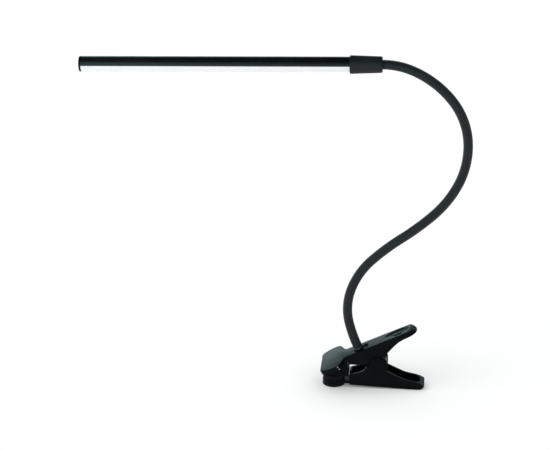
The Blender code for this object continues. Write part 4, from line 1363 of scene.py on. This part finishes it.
class LAMP_OT_led_board(Operator):
    """Board with its row of chips: one chip is modelled and repeated"""

    bl_idname = "lamp.led_board"
    bl_label = "LED board"

    def execute(self, context):
        count = context.scene.lamp_head.chips
        low, top, half = 0.0010, 0.0022, 0.00613
        start, end = BAR_LOW + 0.0025, BAR_HIGH - 0.0025
        board = add_block("board_plate", (low, -half, start), (top, half, end))
        bevel_edges(board, lambda e: abs(run_of(e).x) > 0.001, 0.0008, 3)
        corner = Vector((top - 0.0001, -0.0043, start + 0.002))
        pad = add_block("solder_pad", corner, corner + Vector((0.0002, 0.0016, 0.0025)))
        bevel_edges(pad, lambda e: abs(run_of(e).x) > 0.00015, 0.0005, 3)
        pads = [pad, mirrored(pad, "second_solder_pad")]
        join(board, pads)
        place(board, HEAD_FRAME)
        hand_over(board, "head", solder_mask(), ("led_board",), tidy=False)
        pitch = (end - start - 0.008) / count
        first = start + 0.004 + (pitch - 0.003) / 2
        chip = add_block("chip_row", (low - 0.0006, -0.0016, first), (low + 0.0002, 0.0016, first + 0.003))
        bevel_edges(chip, lambda e: abs(run_of(e).x) > 0.0007, 0.0002, 2)
        edit(chip)
        select("FACE", lambda f: f.normal.x < -0.9)
        bpy.ops.mesh.inset(thickness=0.0003, depth=0)
        bpy.ops.mesh.inset(thickness=0.0001, depth=-0.0001)
        leave()
        repeat(chip, count, pitch)
        place(chip, HEAD_FRAME)
        hand_over(chip, "head", phosphor(), tidy=False)
        return {"FINISHED"}


class LAMP_OT_end_cap(Operator):
    """End cap: a rounded disc with two spigots that fill the bar's end"""

    bl_idname = "lamp.end_cap"
    bl_label = "End cap"

    def execute(self, context):
        top = CAP_LOW + 0.002
        profile = (
            (TUBE_RADIUS - 0.0002, CAP_LOW), (TUBE_RADIUS, CAP_LOW + 0.0002), (TUBE_RADIUS, top - 0.0008),
            (TUBE_RADIUS - 0.0001, top - 0.0004), (TUBE_RADIUS - 0.0004, top - 0.0001),
            (TUBE_RADIUS - 0.0008, top), (TUBE_RADIUS - 0.0020, top),
            (TUBE_RADIUS - 0.0022, top - 0.0002), (0.002, top - 0.0002),
        )
        cap = turn_up("end_cap_moulding", profile, 64)
        spigots = []
        for name, bottom, height in (("upper_spigot", 0.0028, 0.0051), ("lower_spigot", -0.0051, -0.0012)):
            spigot = add_block(name, (bottom, -0.0042, CAP_LOW - 0.006), (height, 0.0042, CAP_LOW + 0.001))
            bevel_edges(spigot, lambda e: min(v.co.z for v in e.verts) < CAP_LOW - 0.0059, 0.0004, 3)
            spigots.append(spigot)
        join(cap, spigots)
        place(cap, HEAD_FRAME)
        hand_over(cap, "head", moulded(), ("end_cap",), tidy=False)
        return {"FINISHED"}


# ---------------------------------------------------------------- stage


class LAMP_OT_stage(Operator):
    """Pale floor, soft studio light and the camera"""

    bl_idname = "lamp.stage"
    bl_label = "Stage"

    def execute(self, context):
        self.floor(context.scene.lamp_stage)
        self.world(context.scene)
        self.lights()
        self.camera(context.scene)
        return {"FINISHED"}

    def floor(self, stage):
        floor = add("plane", "studio_floor", size=14.0, location=(0, 0, -0.0002))
        paint = bpy.data.materials.new("pale floor")
        paint.use_nodes = True
        tree = paint.node_tree
        shader = tree.nodes["Principled BSDF"]
        where = wired(tree, "ShaderNodeTexCoord").outputs["Object"]
        cloud = noise(tree, where, 6.0, 3.0, 0.5)
        paler = (*[part * 1.02 for part in stage.floor], 1)
        links = (("Factor", cloud), (6, (*stage.floor, 1)), (7, paler))
        colour = wired(tree, "ShaderNodeMix", links, data_type="RGBA")
        tree.links.new(colour.outputs[2], shader.inputs["Base Color"])
        for socket, value in (
            ("Roughness", 0.9),
            ("Specular IOR Level", 0.1),
            ("Emission Color", (1, 1, 1, 1)),
            ("Emission Strength", 0.10),
        ):
            shader.inputs[socket].default_value = value
        floor.data.materials.append(paint)

    def world(self, scene):
        """White to the eye, even light for surfaces, and a bright horizon on the left for reflections."""
        world = bpy.data.worlds.new("studio")
        scene.world = world
        scene.view_settings.view_transform = "Standard"
        world.use_nodes = True
        tree = world.node_tree
        tree.nodes.clear()
        where = wired(tree, "ShaderNodeTexCoord").outputs["Generated"]
        split = wired(tree, "ShaderNodeSeparateXYZ", (("Vector", where),))
        level = self.fade(tree, split.outputs["Z"], (0.15, 0.62), (2.3, 0.10))
        side = self.fade(tree, split.outputs["X"], (-0.20, 0.14), (1.0, 0.45))
        strength = wired(tree, "ShaderNodeMath", ((0, level), (1, side)), operation="MULTIPLY").outputs[0]
        shown = [
            wired(tree, "ShaderNodeBackground", (("Color", (*colour, 1)), ("Strength", value))).outputs[0]
            for colour, value in (((1, 1, 1), 0.35), ((0.74, 1.0, 1.0), strength), ((1, 1, 1), 1.2))
        ]
        path = wired(tree, "ShaderNodeLightPath").outputs
        links = ((0, path["Is Glossy Ray"]), (1, shown[0]), (2, shown[1]))
        mix = wired(tree, "ShaderNodeMixShader", links)
        links = ((0, path["Is Camera Ray"]), (1, mix.outputs[0]), (2, shown[2]))
        mix = wired(tree, "ShaderNodeMixShader", links)
        out = tree.nodes.new("ShaderNodeOutputWorld")
        tree.links.new(mix.outputs[0], out.inputs["Surface"])

    def fade(self, tree, value, source, result):
        names = ("Value", "From Min", "From Max", "To Min", "To Max")
        return wired(tree, "ShaderNodeMapRange", zip(names, (value, *source, *result))).outputs["Result"]

    def lights(self):
        for name, spot, energy, spread in (
            ("overhead_softbox", (-0.1, -0.2, 2.0), 1.78, 150.0),
            ("left_softbox", (-1.8, -0.9, 1.3), 0.85, 50.0),
        ):
            light = bpy.data.lights.new(name, "SUN")
            light.energy = energy
            light.angle = math.radians(spread)
            lamp = bpy.data.objects.new(name, light)
            lamp.location = spot
            lamp.rotation_euler = (-Vector(spot)).to_track_quat("-Z", "Y").to_euler()
            lamp.visible_glossy = False
            bpy.context.scene.collection.objects.link(lamp)

    def camera(self, scene):
        stage = scene.lamp_stage
        middle = Vector((-0.0636, 0.0, 0.1789))
        a, e = stage.azimuth, stage.elevation
        back = Vector((math.sin(a) * math.cos(e), -math.cos(a) * math.cos(e), math.sin(e)))
        data = bpy.data.cameras.new("studio_camera")
        data.lens = stage.lens
        data.sensor_width = 36.0
        data.clip_end = 50.0
        camera = bpy.data.objects.new("studio_camera", data)
        camera.location = middle + back * stage.distance
        camera.rotation_euler = (-back).to_track_quat("-Z", "Y").to_euler()
        scene.collection.objects.link(camera)
        scene.camera = camera


class LAMP_PT_sidebar(Panel):
    """Lists the lamp's pieces and sizes"""

    bl_label = "Reading lamp"
    bl_idname = "LAMP_PT_sidebar"
    bl_space_type = "VIEW_3D"
    bl_region_type = "UI"
    bl_category = "Lamp"

    def draw(self, context):
        layout = self.layout
        for pointer in ("lamp_clip", "lamp_neck", "lamp_head", "lamp_colours", "lamp_stage"):
            group = getattr(context.scene, pointer)
            box = layout.box()
            for key in group.__annotations__:
                box.prop(group, key)
        for operator in OPERATORS:
            layout.operator(operator.bl_idname)


OPERATORS = (
    LAMP_OT_stage,
    LAMP_OT_upper_jaw,
    LAMP_OT_lower_jaw,
    LAMP_OT_pads,
    LAMP_OT_pivot,
    LAMP_OT_spring,
    LAMP_OT_neck_seat,
    LAMP_OT_cord_gland,
    LAMP_OT_neck_sheath,
    LAMP_OT_head_sleeve,
    LAMP_OT_light_bar,
    LAMP_OT_led_board,
    LAMP_OT_end_cap,
)
GROUPS = {
    "lamp_clip": LampClipSizes,
    "lamp_neck": LampNeckSizes,
    "lamp_head": LampHeadSizes,
    "lamp_colours": LampColours,
    "lamp_stage": LampStageSettings,
}


def register():
    for group in GROUPS.values():
        bpy.utils.register_class(group)
    for pointer, group in GROUPS.items():
        setattr(bpy.types.Scene, pointer, PointerProperty(type=group))
    for operator in OPERATORS:
        bpy.utils.register_class(operator)
    bpy.utils.register_class(LAMP_PT_sidebar)


def unregister():
    bpy.utils.unregister_class(LAMP_PT_sidebar)
    for operator in reversed(OPERATORS):
        bpy.utils.unregister_class(operator)
    for pointer in GROUPS:
        delattr(bpy.types.Scene, pointer)
    for group in reversed(list(GROUPS.values())):
        bpy.utils.unregister_class(group)


def main():
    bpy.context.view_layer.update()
    register()
    for operator in OPERATORS:
        kind, name = operator.bl_idname.split(".")
        getattr(getattr(bpy.ops, kind), name)()


if __name__ == "__main__":
    main()
